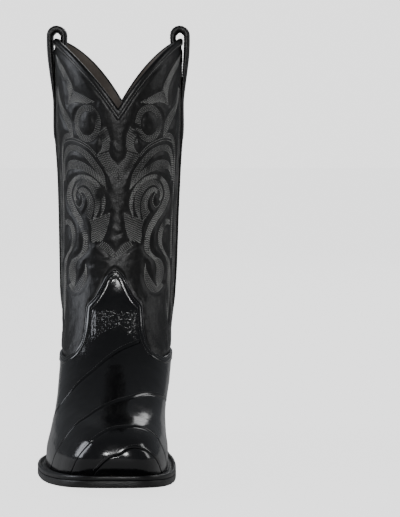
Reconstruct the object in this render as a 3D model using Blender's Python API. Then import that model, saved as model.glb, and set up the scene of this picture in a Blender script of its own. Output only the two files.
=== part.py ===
"""A western (cowboy) boot for the right foot, built in layers as a bootmaker builds it.

The toe points along -Y, +X is the inner (medial) side and +Z is up. The origin is the centre of the
boot's bounding box on the ground. Lengths are in millimetres until a mesh is made, which is in metres.

The whole upper is drawn on one curved surface, the skin: `theta` runs round the boot (0 at the toe and the
shin, +90 at the inner side seam, 180 at the heel), and `level` climbs from the feather line (0), where the
upper meets the welt, to the top of the shaft. Above ANKLE_LEVEL a level is simply a height. Every leather,
lining and stiffener is a patch of that surface, `depth` millimetres inside it.
"""

import math

import bpy
import numpy as np

MM = 0.001

# ---------------------------------------------------------------- driving dimensions
HEEL_HEIGHT = 38.5  # floor to outsole at the back
TOE_SPRING = 7.5  # how far the toe tip is lifted
OUTSOLE = 5.5
WELT = 3.2
INSOLE = 3.0
SOCK = 1.0
GAP = 0.3  # clearance between pieces that touch
TOE_Y, HEEL_Y = -196.0, 86.0  # ends of the feather line, from the leg's axis
BREAST_Y = 22.0  # front face of the heel
BALL_FRONT_Y, BALL_BACK_Y = -115.0, -75.0  # the stretch of sole that lies flat on the floor
SHANK_RUN = 150.0  # length over which the sole climbs to the heel
WELT_MARGIN, HEEL_MARGIN = 6.0, 1.8  # how far the sole edge stands out from the upper
WELT_INNER = -7.0
TOP_PEAK, FRONT_DIP, BACK_DIP = 341.0, 283.0, 289.5  # heights of the scalloped top line
FRONT_SCALLOP, BACK_SCALLOP = 2.1, 2.7  # how quickly the top line climbs out of each dip
DIP_TURN = 2.5  # degrees that the front dip lies towards the inner side
ANKLE_LEVEL = 150.0
SHIFT_X, SHIFT_Y = 0.3, 55.0  # moves the leg's axis so that the bounding box is centred

# layers of the upper, as (outer depth, inner depth) inside the skin
OUTER = (0.0, 1.2)  # vamp and counter
MIDDLE = (1.85, 3.0)  # shaft panels, toe box, counter stiffener, interlining
INNER = (3.45, 4.45)  # linings
CANVAS = (2.0, 2.8)
STIFF = (2.1, 2.8)
PIPING = (0.1, 1.5)
SEAM = 2.0  # half angle in degrees that the side welt takes between vamp and counter

# sections of the last and the shaft, from the feather line to the top
LEVELS = (0, 12, 25, 40, 58, 78, 100, 122, 150, 200, 230, 250, 270, 290, 315, 350)
FRONT_Y = (TOE_Y, -200, -197, -184, -158, -125, -92, -68, -56, -54, -55, -56, -57, -58, -59, -59)
FRONT_Z = (15.5, 27, 38.5, 50, 60, 74, 93, 119, 150, 200, 230, 250, 270, 290, 315, 350)
BACK_Y = (HEEL_Y, 90, 92, 91, 88, 84, 79, 76, 74, 76, 77, 78, 79, 79, 79, 79)
BACK_Z = (47.8, 58, 70, 83, 96, 110, 124, 138, 150, 200, 230, 250, 270, 290, 315, 350)
SEAM_Y = (24, 23, 21, 18, 14, 11, 9, 8, 9, 11, 11, 11, 11, 10.5, 10, 10)
SHAFT_HALF = (44, 44, 44.7, 45.6, 46.9, 46, 46.4, 48, 48.9, 50.2, 51.3, 52.5, 53.9, 53.8, 54, 54.4)
FOOT_SHARE = (1, 0.93, 0.8, 0.56, 0.26, 0.07, 0, 0, 0, 0, 0, 0, 0, 0, 0, 0)
SOLE_SHARE = (1, 0.95, 0.86, 0.7, 0.5, 0.28, 0.1, 0, 0, 0, 0, 0, 0, 0, 0, 0)
BULGE = (1, 1, 0.975, 0.96, 0.975, 1, 1, 1, 1, 1, 1, 1, 1, 1, 1, 1)
SWAY = (0, 0, 0, -0.1, -0.4, -0.8, -1.2, -1.2, -0.8, -0.3, 0, 0, 0, 0, 0, 0)  # centre line, inwards positive
TOE_POWER = (0.55, 0.6, 0.7, 0.86, 1, 1, 1, 1, 1, 1, 1, 1, 1, 1, 1, 1)  # below 1 squares the toe's plan
HEEL_POWER = (0.74, 0.78, 0.84, 0.93, 1, 1, 1, 1, 1, 1, 1, 1, 1, 1, 1, 1)

# half breadth of the feather line from heel (0) to toe (1), before its ends are rounded
FOOT_RUN = (0, 0.1, 0.2, 0.3, 0.41, 0.52, 0.64, 0.72, 0.82, 0.91, 1)
LATERAL_HALF = (48, 45.5, 38.5, 35.5, 38.7, 46, 54.8, 57, 57, 55.5, 54)
MEDIAL_HALF = (48, 45.5, 37, 30.5, 30, 35.5, 42.3, 44.6, 45.5, 45.5, 46)
TOE_SWING = 6.0  # how far the toe tip lies to the inner side

# the vamp's top edge, as (distance from the centre line, height): tongue, shoulder, throat and side wing
TONGUE = ((0, 155.5), (6, 150.5), (10.5, 141), (15, 133), (21.2, 126.5), (22.7, 108), (25, 98), (29.5, 91),
          (38, 85.6), (44.5, 86.5))
# seams between the vamp's diagonal strips, as (theta, level), from the lateral feather line over the top and down
SEAM_A = ((-71, 0), (-57, 30), (-45.5, 54.5), (-30, 76.7), (-16.3, 89), (-4, 98), (8, 103.5), (20, 105.5), (27, 106))
SEAM_B = ((-41, 0), (-36.5, 17), (-30, 35), (-23.8, 46.8), (-10.5, 61.5), (3.6, 68.3), (16.5, 69.7), (28.4, 69),
          (42.8, 61.6), (60, 44), (74, 18), (80, 0))
SEAM_C = ((-21, 0), (-14.5, 20), (-7.8, 33.7), (0.4, 42), (8.6, 42.8), (16.8, 41), (27.9, 33.2), (35, 18), (40, 0))
SEAM_D = ((-6, 0), (-1, 15), (5.9, 22.4), (16.6, 19.3), (24, 9.5), (28.5, 0))
COUNTER_PEAK = 112.0  # height of the counter's point at the back
COUNTER_SIDE = 87.0
LAP = 12.0  # how far the back panel runs down behind the counter
PANEL_EDGE = ((0, 141), (26, 94), (40, 79), (90, 75))  # hidden lower edge of the front panel: angle, height
LINING_JOIN = 96.0  # level where the shaft linings meet the foot linings

# pull straps: a folded band over each side peak, sewn outside and inside the shaft
STRAP_HALF = 12.0  # half the band's width
STRAP_OUTER_END, STRAP_INNER_END = 259.0, 296.0  # heights of its two sewn ends
STRAP_LIFTS = 292.0  # height at which the outer leg starts to leave the leather
STRAP_SPLIT = 337.5  # top of the sewn legs; the free loop starts LOOP_DROP below the hinge
HINGE_Z, HINGE_DEPTH, LOOP_DROP = 342.6, 3.15, 1.5
LOOP_INSIDE, LOOP_THICK, LOOP_RISE = 4.8, 3.3, 1.4
STRAP_THIN = 1.8

# the grid that every layer of the upper shares, so that the layers stay parallel
ROWS = (0, 7, 14, 21, 28, 37, 47, 58, 70, 83, 96.25, 104, 112, 120, 129, 137, 144, 150, 170, 200, 232, 262, 290, 315, 338)


# ---------------------------------------------------------------- curves
def spline(x, knots, values):
    """A smooth curve through the knots: a cubic Hermite whose slopes never overshoot."""
    k, y = np.asarray(knots, float), np.asarray(values, float)
    h = np.diff(k)
    slope = np.diff(y) / h
    tangent = np.zeros_like(y)
    same = slope[:-1] * slope[1:] > 0
    weight = (h[:-1] + 2 * h[1:], 2 * h[:-1] + h[1:])
    with np.errstate(divide="ignore", invalid="ignore"):
        mean = (weight[0] + weight[1]) / (weight[1] / slope[:-1] + weight[0] / slope[1:])
    tangent[1:-1] = np.where(same, mean, 0)
    tangent[0], tangent[-1] = slope[0], slope[-1]
    x = np.clip(np.asarray(x, float), k[0], k[-1])
    i = np.clip(np.searchsorted(k, x, side="right") - 1, 0, len(h) - 1)
    t = (x - k[i]) / h[i]
    return ((1 + 2 * t) * (1 - t) ** 2 * y[i] + t * (1 - t) ** 2 * h[i] * tangent[i]
            + t * t * (3 - 2 * t) * y[i + 1] + t * t * (t - 1) * h[i] * tangent[i + 1])


def smoothstep(t):
    t = np.clip(t, 0, 1)
    return t * t * (3 - 2 * t)


def sole_z(y):
    """Height of the outsole's underside at y: flat at the ball, up to the heel, and sprung at the toe."""
    spring = np.clip((BALL_FRONT_Y - np.asarray(y, float)) / 90, 0, None) ** 1.8
    return HEEL_HEIGHT * smoothstep((y - BALL_BACK_Y) / SHANK_RUN) + TOE_SPRING * spring


def feather_z(y):
    """Height at which the upper and the insole start."""
    return sole_z(y) + OUTSOLE + WELT + 2 * GAP


# ---------------------------------------------------------------- the skin
def skin_point(theta, level):
    """Points (..., 3) of the outer surface, for theta in degrees and a level."""
    theta, level = np.broadcast_arrays(np.asarray(theta, float), np.asarray(level, float))
    angle = np.radians(theta)
    front, back = spline(level, LEVELS, FRONT_Y), spline(level, LEVELS, BACK_Y)
    seam = spline(level, LEVELS, SEAM_Y)
    c = np.cos(angle)
    y = seam + np.where(c > 0, front - seam, seam - back) * c
    run = np.clip((back - y) / (back - front), 0, 1)
    share = spline(level, LEVELS, FOOT_SHARE)
    foot = np.where(np.sin(angle) < 0, spline(run, FOOT_RUN, LATERAL_HALF), spline(run, FOOT_RUN, MEDIAL_HALF))
    half = share * foot + (1 - share) * spline(level, LEVELS, SHAFT_HALF)
    toe_power, heel_power = spline(level, LEVELS, TOE_POWER), spline(level, LEVELS, HEEL_POWER)
    power = heel_power + (toe_power - heel_power) * smoothstep(run)
    rounding = (2 * np.sqrt(run * (1 - run))) ** power
    x = np.sign(np.sin(angle)) * rounding * half * spline(level, LEVELS, BULGE)
    x = x + TOE_SWING * smoothstep((-y - 90) / 105) * share ** 0.5 + spline(level, LEVELS, SWAY)
    chord = spline(level, LEVELS, BACK_Z) * (1 - run) + spline(level, LEVELS, FRONT_Z) * run
    sole_run = np.clip((HEEL_Y - y) / (HEEL_Y - TOE_Y), 0, 1)
    hollow = feather_z(y) - (feather_z(HEEL_Y) * (1 - sole_run) + feather_z(TOE_Y) * sole_run)
    z = chord + spline(level, LEVELS, SOLE_SHARE) * hollow
    return np.stack([x, y, z], axis=-1)


def skin(theta, level, depth=0.0):
    """Points of the surface that lies `depth` millimetres inside the skin."""
    step = 0.05
    across = skin_point(np.asarray(theta) + step, level) - skin_point(np.asarray(theta) - step, level)
    up = skin_point(theta, np.asarray(level) + step) - skin_point(theta, np.clip(np.asarray(level) - step, 0, None))
    normal = np.cross(across, up)
    normal /= np.linalg.norm(normal, axis=-1, keepdims=True)
    moved = skin_point(theta, level) - normal * np.asarray(depth, float)[..., None]
    moved[..., 2] = np.maximum(moved[..., 2], feather_z(moved[..., 1]))
    return moved


def level_at(theta, height):
    """The level at which the skin reaches a height, on the line of constant theta."""
    theta, height = np.broadcast_arrays(np.asarray(theta, float), np.asarray(height, float))
    low, high = np.zeros(theta.shape), np.full(theta.shape, float(LEVELS[-1]))
    for _ in range(30):
        middle = (low + high) / 2
        under = skin_point(theta, middle)[..., 2] < height
        low, high = np.where(under, middle, low), np.where(under, high, middle)
    return (low + high) / 2


def theta_at(distance, height):
    """The angle on the inner side of the front at which the skin stands that far from the centre line."""
    low, high = 0.0, 90.0
    for _ in range(30):
        middle = (low + high) / 2
        if skin_point(middle, level_at(middle, height))[0] < distance:
            low = middle
        else:
            high = middle
    return (low + high) / 2


TONGUE_EDGE = [(theta_at(x, z), z) for x, z in TONGUE]


def tidy_columns(first, last, step, wanted=()):
    """Angles from first to last: the wanted ones, and even ones wherever the space between is too wide."""
    made = [first]
    for angle in sorted({round(t, 3) for t in wanted if first + 0.7 < t < last - 0.7}) + [last]:
        parts = max(1, math.ceil((angle - made[-1]) / step))
        start = made[-1]
        made += [start + (angle - start) * (i + 1) / parts for i in range(parts)]
    return made


EDGE = 90 - SEAM
WANTED = [-33.0, -19.0, -15.0, -3.5, 0.0, DIP_TURN, 6.0, 22.0, 33.5]
WANTED += [sign * t for t, _ in TONGUE_EDGE[1:] for sign in (-1, 1)]
WANTED += [angle for seam in (SEAM_A[:1], SEAM_B, SEAM_C, SEAM_D) for angle, _ in (seam[0], seam[-1])]
FRONT_COLUMNS = np.array([-89.6] + tidy_columns(-EDGE, EDGE, 9.0, WANTED) + [89.6])
BACK_COLUMNS = np.array([90.4] + tidy_columns(180 - EDGE, 180 + EDGE, 8.6, [172.0, 176.0, 180.0, 184.0, 188.0]) + [269.6])


def between(columns, first, last):
    return columns[(columns >= first - 1e-6) & (columns <= last + 1e-6)]


def tongue_z(theta):
    """Height of the vamp's top edge."""
    return np.interp(np.abs(theta), [t for t, _ in TONGUE_EDGE] + [90], [z for _, z in TONGUE_EDGE] + [COUNTER_SIDE])


def panel_edge(theta):
    return np.interp(np.abs(theta), *zip(*PANEL_EDGE))


def counter_z(theta):
    """Height of the counter's top edge: a point at the back between two sweeps."""
    off = np.abs(np.abs(theta) - 180) / 90
    return COUNTER_SIDE + (COUNTER_PEAK - COUNTER_SIDE) * np.clip(1 - off, 0, 1) ** 1.8


def top_z(theta):
    """Height of the shaft's top line."""
    turned = (np.asarray(theta, float) + 180) % 360 - 180
    front = np.abs(turned) <= 90
    off = turned - DIP_TURN
    t = np.where(front, np.abs(off) / (90 - np.sign(off) * DIP_TURN), (180 - np.abs(turned)) / 90)
    dip = np.where(front, FRONT_DIP, BACK_DIP)
    power = np.where(front, FRONT_SCALLOP, BACK_SCALLOP)
    return dip + (TOP_PEAK - dip) * (1 - (1 - t) ** power)


def outline(theta, offset):
    """Plan points of the feather line moved outwards by an offset."""
    step = 0.05
    here = skin_point(theta, 0.0)[..., :2]
    along = skin_point(np.asarray(theta) + step, 0.0)[..., :2] - skin_point(np.asarray(theta) - step, 0.0)[..., :2]
    out = np.stack([along[..., 1], -along[..., 0]], axis=-1)
    out /= np.linalg.norm(out, axis=-1, keepdims=True)
    return here + out * np.asarray(offset, float)[..., None]


def sole_margin(theta):
    """How far the sole's edge stands out: wide round the forepart, close at the heel."""
    y = skin_point(theta, 0.0)[..., 1]
    return WELT_MARGIN + (HEEL_MARGIN - WELT_MARGIN) * smoothstep((y + 50) / 80)


# ---------------------------------------------------------------- meshes
def material(name, colour, roughness, metallic=0.0):
    found = bpy.data.materials.get(name)
    if found:
        return found
    made = bpy.data.materials.new(name)
    made.use_nodes = True
    shader = made.node_tree.nodes["Principled BSDF"]
    shader.inputs["Base Color"].default_value = (*colour, 1)
    shader.inputs["Roughness"].default_value = roughness
    shader.inputs["Metallic"].default_value = metallic
    return made


def add_mesh(name, points, faces, finish):
    """An object from points in millimetres about the leg's axis, its faces turned outwards."""
    placed = (np.asarray(points, float).reshape(-1, 3) + (SHIFT_X, SHIFT_Y, 0)) * MM
    middle = placed.mean(axis=0)
    volume = 0.0
    for face in faces:
        corner = placed[list(face)] - middle
        for j in range(1, len(face) - 1):
            volume += np.dot(corner[0], np.cross(corner[j], corner[j + 1]))
    if volume < 0:
        faces = [tuple(reversed(face)) for face in faces]
    mesh = bpy.data.meshes.new(name)
    mesh.from_pydata(placed.tolist(), [], faces)
    mesh.validate()
    mesh.update()
    obj = bpy.data.objects.new(name, mesh)
    bpy.context.scene.collection.objects.link(obj)
    if finish:
        mesh.materials.append(FINISHES[finish])
        mesh.shade_smooth()
        mesh.set_sharp_from_angle(angle=math.radians(40))
    return obj


def swept_shell(name, rings, finish):
    """A closed body from cross-sections, each the same number of points, with flat ends."""
    rings = np.asarray(rings, float)
    count, size = rings.shape[:2]
    faces = []
    for i in range(count - 1):
        for j in range(size):
            k = (j + 1) % size
            faces.append((i * size + j, i * size + k, (i + 1) * size + k, (i + 1) * size + j))
    faces.append(tuple(range(size - 1, -1, -1)))
    faces.append(tuple((count - 1) * size + j for j in range(size)))
    return add_mesh(name, rings, faces, finish)


def patch(name, thetas, low, high, depths, finish):
    """A leather panel: the part of the skin between two levels at each of its columns, with a thickness.

    Its rows are the shared ROWS, cut off at `low` and `high`; points that fall together are one point.
    """
    thetas = np.asarray(thetas, float)
    rows = np.array([r for r in ROWS if np.min(low) < r < np.max(high)])[:, None]
    near = 2.5
    level = np.where(rows < low + near, low, np.where(rows > high - near, high, rows))
    level = np.concatenate([np.broadcast_to(low, (1, len(thetas))), level, np.broadcast_to(high, (1, len(thetas)))])
    count, n = level.shape
    index = np.arange(count * n).reshape(count, n)
    for i in range(1, count):
        index[i] = np.where(np.abs(level[i] - level[i - 1]) < 1e-6, index[i - 1], index[i])
    theta = np.broadcast_to(thetas, level.shape)
    outer, inner = skin(theta, level, depths[0] + 0 * level), skin(theta, level, depths[1] + 0 * level)
    size = count * n
    faces = []

    def add_face(corners):
        kept = [c for c, before in zip(corners, corners[-1:] + corners[:-1]) if c != before]
        if len(kept) > 2:
            faces.append(tuple(kept))

    for i in range(count - 1):
        for j in range(n - 1):
            corners = [int(index[i, j]), int(index[i, j + 1]), int(index[i + 1, j + 1]), int(index[i + 1, j])]
            add_face(corners)
            add_face([size + c for c in reversed(corners)])
    rim = [int(index[0, j]) for j in range(n)] + [int(index[i, n - 1]) for i in range(1, count)]
    rim += [int(index[-1, j]) for j in range(n - 2, -1, -1)] + [int(index[i, 0]) for i in range(count - 2, 0, -1)]
    rim = [c for c, before in zip(rim, rim[-1:] + rim[:-1]) if c != before]
    for p, q in zip(rim, rim[1:] + rim[:1]):
        faces.append((p, size + p, size + q, q))
    used = sorted({c for face in faces for c in face})
    place = {c: k for k, c in enumerate(used)}
    points = np.concatenate([outer.reshape(-1, 3), inner.reshape(-1, 3)])[used]
    return add_mesh(name, points, [tuple(place[c] for c in face) for face in faces], finish)


def plate(name, thetas, offset, bottom, top, finish):
    """A sheet of the sole: an outline that follows the feather line, bent to the sole's profile.

    `thetas` run from the toe to the heel down one side, and each has its twin on the other side.
    """
    thetas = np.asarray(thetas, float)
    sides = [outline(sign * thetas, offset(sign * thetas)) for sign in (-1, 1)]
    rings = []
    for a, b in zip(*sides):
        rings.append([(*a, bottom(a[1])), (*b, bottom(b[1])), (*b, top(b[1])), (*a, top(a[1]))])
    return swept_shell(name, rings, finish)


def strip(name, thetas, outer, inner, bottom, top, finish):
    """A band of the sole between two outlines, such as the welt."""
    rings = []
    for theta in thetas:
        a, b = outline(theta, inner(theta)), outline(theta, outer(theta))
        rings.append([(*a, bottom(a[1])), (*b, bottom(b[1])), (*b, top(b[1])), (*a, top(a[1]))])
    return swept_shell(name, rings, finish)


# ---------------------------------------------------------------- the sole
def stations(first, last, count=40):
    """Angles down one side of the sole, closer together towards the toe and the heel."""
    y = (TOE_Y + HEEL_Y) / 2 - (HEEL_Y - TOE_Y) / 2 * np.cos(np.linspace(0, math.pi, count))
    c = np.where(y < SEAM_Y[0], (y - SEAM_Y[0]) / (TOE_Y - SEAM_Y[0]), -(y - SEAM_Y[0]) / (HEEL_Y - SEAM_Y[0]))
    angles = np.degrees(np.arccos(np.clip(c, -1, 1)))
    return np.array([first] + [t for t in angles if first + 2 < t < last - 2] + [last])


def build_sole():
    whole = stations(2.5, 177.5)
    edge = lambda theta: sole_margin(theta)
    plate("outsole", whole, edge, sole_z, lambda y: sole_z(y) + OUTSOLE, "sole_leather")
    welt_low, welt_high = (lambda y: sole_z(y) + OUTSOLE + GAP), (lambda y: sole_z(y) + OUTSOLE + GAP + WELT)
    inner = lambda theta: WELT_INNER
    breast = 92.0
    side = stations(0.0, breast)
    forepart = np.r_[-side[:0:-1], side]
    strip("welt", forepart, edge, inner, welt_low, welt_high, "welt_leather")
    side = stations(breast + 1, 180.0)
    seat = np.r_[side, 360 - side[-2::-1]]
    strip("heel_rand", seat, edge, inner, welt_low, welt_high, "welt_leather")
    inside = lambda theta: 0 * theta - 5.2
    plate("insole", stations(3, 177), inside, feather_z,
          lambda y: feather_z(y) + INSOLE, "insole_leather")
    plate("sock_liner", stations(3.5, 176.5), lambda theta: 0 * theta - 5.7,
          lambda y: feather_z(y) + INSOLE + GAP, lambda y: feather_z(y) + INSOLE + GAP + SOCK, "sock_leather")
    plate("cork_filler", stations(4, 63), lambda theta: 0 * theta + WELT_INNER - 0.4,
          welt_low, lambda y: sole_z(y) + OUTSOLE + WELT, "cork")


def build_shank():
    """The sprung steel strip that holds the arch, with a stiffening rib's thickness."""
    half, low, thick = 7.5, OUTSOLE + 0.6, 2.0
    rings = []
    for y in np.linspace(-50, 66, 16):
        z = sole_z(y) + low
        taper = half * (1 - 0.35 * abs(y - 8) / 58)
        rings.append([(-taper, y, z), (-taper, y, z + thick), (taper, y, z + thick), (taper, y, z)])
    swept_shell("steel_shank", rings, "steel")


def heel_outline(height):
    """The heel's plan at a height: the seat's outline, drawn in towards the ground and cut flat at the breast."""
    drop = 1 - height / HEEL_HEIGHT
    thetas = np.linspace(97, 263, 21)
    points = outline(thetas, sole_margin(thetas) - 2.6 * drop)
    points[:, 1] -= 6.0 * drop * np.clip((points[:, 1] - BREAST_Y) / (HEEL_Y - BREAST_Y), 0, 1)
    front = BREAST_Y + 1.5 * drop
    kept = points[points[:, 1] > front + 4]
    left = [np.interp(front, points[::-1 if s else 1][:6, 1], points[::-1 if s else 1][:6, 0]) for s in (0, 1)]
    return np.concatenate([[(left[0], front)], kept, [(left[1], front)]])


def lift(name, low, high, finish):
    """One layer of the heel stack. `high` is a height, or a function of y for the wedge under the seat."""
    bottom, wedge = heel_outline(low), callable(high)
    upper = heel_outline(HEEL_HEIGHT if wedge else high)
    count = len(bottom)
    if len(upper) != count:
        raise ValueError("heel outlines differ in size")
    ring_low = [(x, y, low) for x, y in bottom]
    ring_high = [(x, y, high(y) if wedge else high) for x, y in upper]
    centre_low, centre_high = np.mean(ring_low, axis=0), np.mean(ring_high, axis=0)
    points = ring_low + ring_high + [tuple(centre_low), tuple(centre_high)]
    faces = []
    for j in range(count):
        k = (j + 1) % count
        faces += [(j, k, count + k, count + j), (k, j, 2 * count), (count + j, count + k, 2 * count + 1)]
    return add_mesh(name, points, faces, finish)


def build_heel():
    cap, layer, count = 6.0, 6.3, 3
    lift("heel_cap", 0.0, cap, "rubber")
    base = cap + GAP
    for i in range(count):
        lift(f"heel_lift_{i + 1}", base, base + layer - GAP, "stacked_leather")
        base += layer
    lift("heel_wedge", base, lambda y: sole_z(y) - GAP, "stacked_leather")


# ---------------------------------------------------------------- the upper
def seam_level(seam, thetas):
    """The seam's level at each angle: zero outside its ends, where the strip above it reaches the feather line."""
    return np.interp(thetas, [t for t, _ in seam], [l for _, l in seam], left=0, right=0)


def build_vamp(columns):
    """Five strips of leather, sewn edge to edge along the diagonal seams, with a hair's gap between them."""
    top = level_at(columns, tongue_z(columns))
    over = np.where(columns > SEAM_A[-1][0] + 0.01, 1e3, seam_level(SEAM_A, columns))
    seams = [seam_level(seam, columns) for seam in (SEAM_D, SEAM_C, SEAM_B)] + [np.minimum(over, top), top]
    names = ("vamp_toe", "vamp_strip_low", "vamp_strip_middle", "vamp_strip_high", "vamp_tongue")
    below = 0 * columns
    for i, (name, high) in enumerate(zip(names, seams)):
        slack = 0.15 + 0.15 * np.abs(np.gradient(high, columns))
        low = np.where(below > 0, below + 0.15 + 0.15 * np.abs(np.gradient(below, columns)), 0)
        reach = high - slack if i < 4 else high
        open_here = reach > low + 0.5
        first, last = np.flatnonzero(open_here)[[0, -1]]
        used = slice(max(first - 1, 0), last + 2)
        low, reach, thetas = low[used], np.where(open_here, reach, low)[used], columns[used].copy()
        if first > 0:
            thetas[0] += 0.4
        if last < len(columns) - 1:
            thetas[-1] -= 0.4
        patch(name, thetas, low, reach, OUTER, "vamp_leather")
        below = high


def build_upper():
    front, back = between(FRONT_COLUMNS, -EDGE, EDGE), between(BACK_COLUMNS, 180 - EDGE, 180 + EDGE)
    build_vamp(front)
    patch("counter", back, 0 * back, level_at(back, counter_z(back)), OUTER, "vamp_leather")
    front, back = FRONT_COLUMNS, BACK_COLUMNS
    patch("front_panel", front, level_at(front, panel_edge(front)), top_z(front), MIDDLE, "shaft_leather")
    patch("back_panel", back, level_at(back, counter_z(back) - LAP), top_z(back), MIDDLE, "shaft_leather")
    for name, thetas in (("front", front), ("back", back)):
        join = LINING_JOIN + 0 * thetas
        patch(name + "_lining", thetas, join + 0.5, top_z(thetas), INNER, "lining_leather")
        patch("vamp_lining" if name == "front" else "heel_lining", thetas, 0 * join, join, INNER, "lining_leather")


TOE_BOX_EDGE = 40.0


def toe_box_level(theta):
    return 64 * (1 - (np.clip(np.abs(theta), 0, TOE_BOX_EDGE) / 46) ** 2.4)


def build_stiffeners():
    """The hard toe box, the stiff heel counter and the canvas between vamp and lining."""
    toe = between(FRONT_COLUMNS, -TOE_BOX_EDGE, TOE_BOX_EDGE)
    patch("toe_box", toe, 0 * toe, toe_box_level(toe), STIFF, "stiffener")
    heel = between(BACK_COLUMNS, 112, 248)
    rise = 52 * (1 - 0.5 * (np.abs(heel - 180) / 68) ** 3)
    rise = np.minimum(rise, level_at(heel, counter_z(heel) - LAP) - 2.5)
    patch("counter_stiffener", heel, 0 * heel, rise, STIFF, "stiffener")
    side = between(FRONT_COLUMNS, -EDGE, EDGE)
    low = np.maximum(toe_box_level(side) + 3.0, 21)
    high = level_at(side, panel_edge(side)) - 2.5
    patch("vamp_interlining", side, low, high, CANVAS, "canvas")


def build_side_welts():
    """The leather piping closed into each side seam, up to the pull strap."""
    for name, middle in (("side_welt_outer", -90.0), ("side_welt_inner", 90.0)):
        thetas = middle + np.linspace(-SEAM * 0.72, SEAM * 0.72, 4)
        patch(name, thetas, 0 * thetas, 0 * thetas + STRAP_OUTER_END - 2, PIPING, "edge_leather")


def edge_frame(thetas):
    """For each column of a top edge, the move in (theta, level) that goes 1 mm square off that edge."""
    levels = top_z(thetas)
    width = np.linalg.norm(skin_point(thetas + 0.05, levels) - skin_point(thetas - 0.05, levels), axis=1) / 0.1
    run, climb = np.diff(thetas) * (width[1:] + width[:-1]) / 2, np.diff(levels)
    length = np.hypot(run, climb)
    across, up = -climb / length, run / length
    before, after = np.r_[across[0], across], np.r_[across, across[-1]]
    before_up, after_up = np.r_[up[0], up], np.r_[up, up[-1]]
    mitre = 1 + before * after + before_up * after_up
    return (before + after) / mitre / width, (before_up + after_up) / mitre


def build_bindings():
    """The folded strips over the raw top edges, one along the front scallop and one along the back."""
    section = ((0.7, -4.6), (0.7, 1.5), (5.6, 1.5), (5.6, -4.6), (4.75, -4.6), (4.75, 0.35), (1.55, 0.35), (1.55, -4.6))
    for name, thetas in (("front_binding", FRONT_COLUMNS), ("back_binding", BACK_COLUMNS)):
        turn, rise = edge_frame(thetas)
        levels = top_z(thetas)
        rings = [skin(thetas + turn * off, levels + rise * off, depth + 0 * thetas) for depth, off in section]
        swept_shell(name, np.stack(rings, axis=1), "edge_leather")


# ---------------------------------------------------------------- the pull straps
def strap_body(name, side, profile, finish):
    """A band across the side peak. The profile is its closed section as (depth, height) pairs."""
    rings = []
    for offset in np.linspace(-STRAP_HALF, STRAP_HALF, 7):
        angle = side * 90 - side * math.degrees(math.asin(offset / 69.5))
        rings.append([(*skin(angle, min(z, 338.0), depth)[:2], z) for depth, z in profile])
    swept_shell(name, rings, finish)


def leg_profile(side_of_leather, end):
    """Section of a sewn leg: flat on the leather, then leaving it. The sign is -1 outside and +1 inside."""
    surface = 1.85 - GAP if side_of_leather < 0 else 4.45 + GAP
    top = HINGE_DEPTH + side_of_leather * LOOP_INSIDE
    lifts = max(STRAP_LIFTS, end + 12)
    heights = (end, lifts, lifts + (STRAP_SPLIT - lifts) * 0.55, STRAP_SPLIT)
    near = (surface, surface, surface + (top - surface) * 0.6, top)
    thick = (STRAP_THIN, STRAP_THIN + 0.4, STRAP_THIN + 0.8, LOOP_THICK)
    face = list(zip(near, heights))
    back = [(d + side_of_leather * t, z) for d, t, z in zip(near, thick, heights)]
    return face + back[::-1]


def loop_profile():
    """Section of the free loop: two short legs joined by a half circle."""
    inside, outside = LOOP_INSIDE, LOOP_INSIDE + LOOP_THICK
    profile = []
    for radius, turn in ((outside, 1), (inside, -1)):
        arc = [(-turn * radius, -LOOP_DROP)]
        for i in range(9):
            a = math.pi * i / 8
            arc.append((-turn * radius * math.cos(a), LOOP_RISE + radius * math.sin(a)))
        arc.append((turn * radius, -LOOP_DROP))
        profile += arc
    return [(HINGE_DEPTH + u, HINGE_Z + w) for u, w in profile]


def build_straps():
    for side, name in ((-1, "outer_side"), (1, "inner_side")):
        strap_body(f"strap_{name}_sewn_out", side, leg_profile(-1, STRAP_OUTER_END), "shaft_leather")
        strap_body(f"strap_{name}_sewn_in", side, leg_profile(1, STRAP_INNER_END), "shaft_leather")
        strap_body(f"strap_{name}_loop", side, loop_profile(), "shaft_leather")


# ---------------------------------------------------------------- nails and pegs
def cylinder(name, x, y, low, high, radius, finish, sides=12):
    rings = []
    for z in (low, high):
        rings.append([(x + radius * math.cos(a), y + radius * math.sin(a), z)
                      for a in (2 * math.pi * i / sides for i in range(sides))])
    return swept_shell(name, rings, finish)


def drill(names, x, y, low, high, radius):
    cutter = cylinder("drill", x, y, low, high, radius, None)
    for name in names:
        target = bpy.data.objects[name]
        cut = target.modifiers.new("hole", "BOOLEAN")
        cut.operation, cut.solver, cut.object = "DIFFERENCE", "EXACT", cutter
        bpy.context.view_layer.update()
        result = bpy.data.meshes.new_from_object(target.evaluated_get(bpy.context.evaluated_depsgraph_get()))
        target.modifiers.clear()
        target.data = result
        result.name = name
    bpy.data.objects.remove(cutter)


HEEL_NAILS = ((-22, 38), (22, 38), (-19, 56), (19, 56), (0, 69))
SHANK_PEGS = ((-24, -22), (22, -22), (-25, -8), (20, -8), (-26, 6), (21, 6))


def build_fixings():
    """Five nails up through the heel cap, and the wooden pegs of the arch."""
    for i, (x, y) in enumerate(HEEL_NAILS):
        drill(["heel_cap", "heel_lift_1"], x, y, -1, 13.5, 1.6)
        cylinder(f"heel_nail_{i + 1}", x, y, 0.5, 12.0, 1.3, "brass")
    for i, (x, y) in enumerate(SHANK_PEGS):
        low = float(sole_z(y))
        drill(["outsole"], x, y, low - 3, low + OUTSOLE + 3, 1.5)
        cylinder(f"shank_peg_{i + 1}", x, y, low + 0.5, low + OUTSOLE - 0.5, 1.2, "wood")


FINISHES = {}


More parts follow.
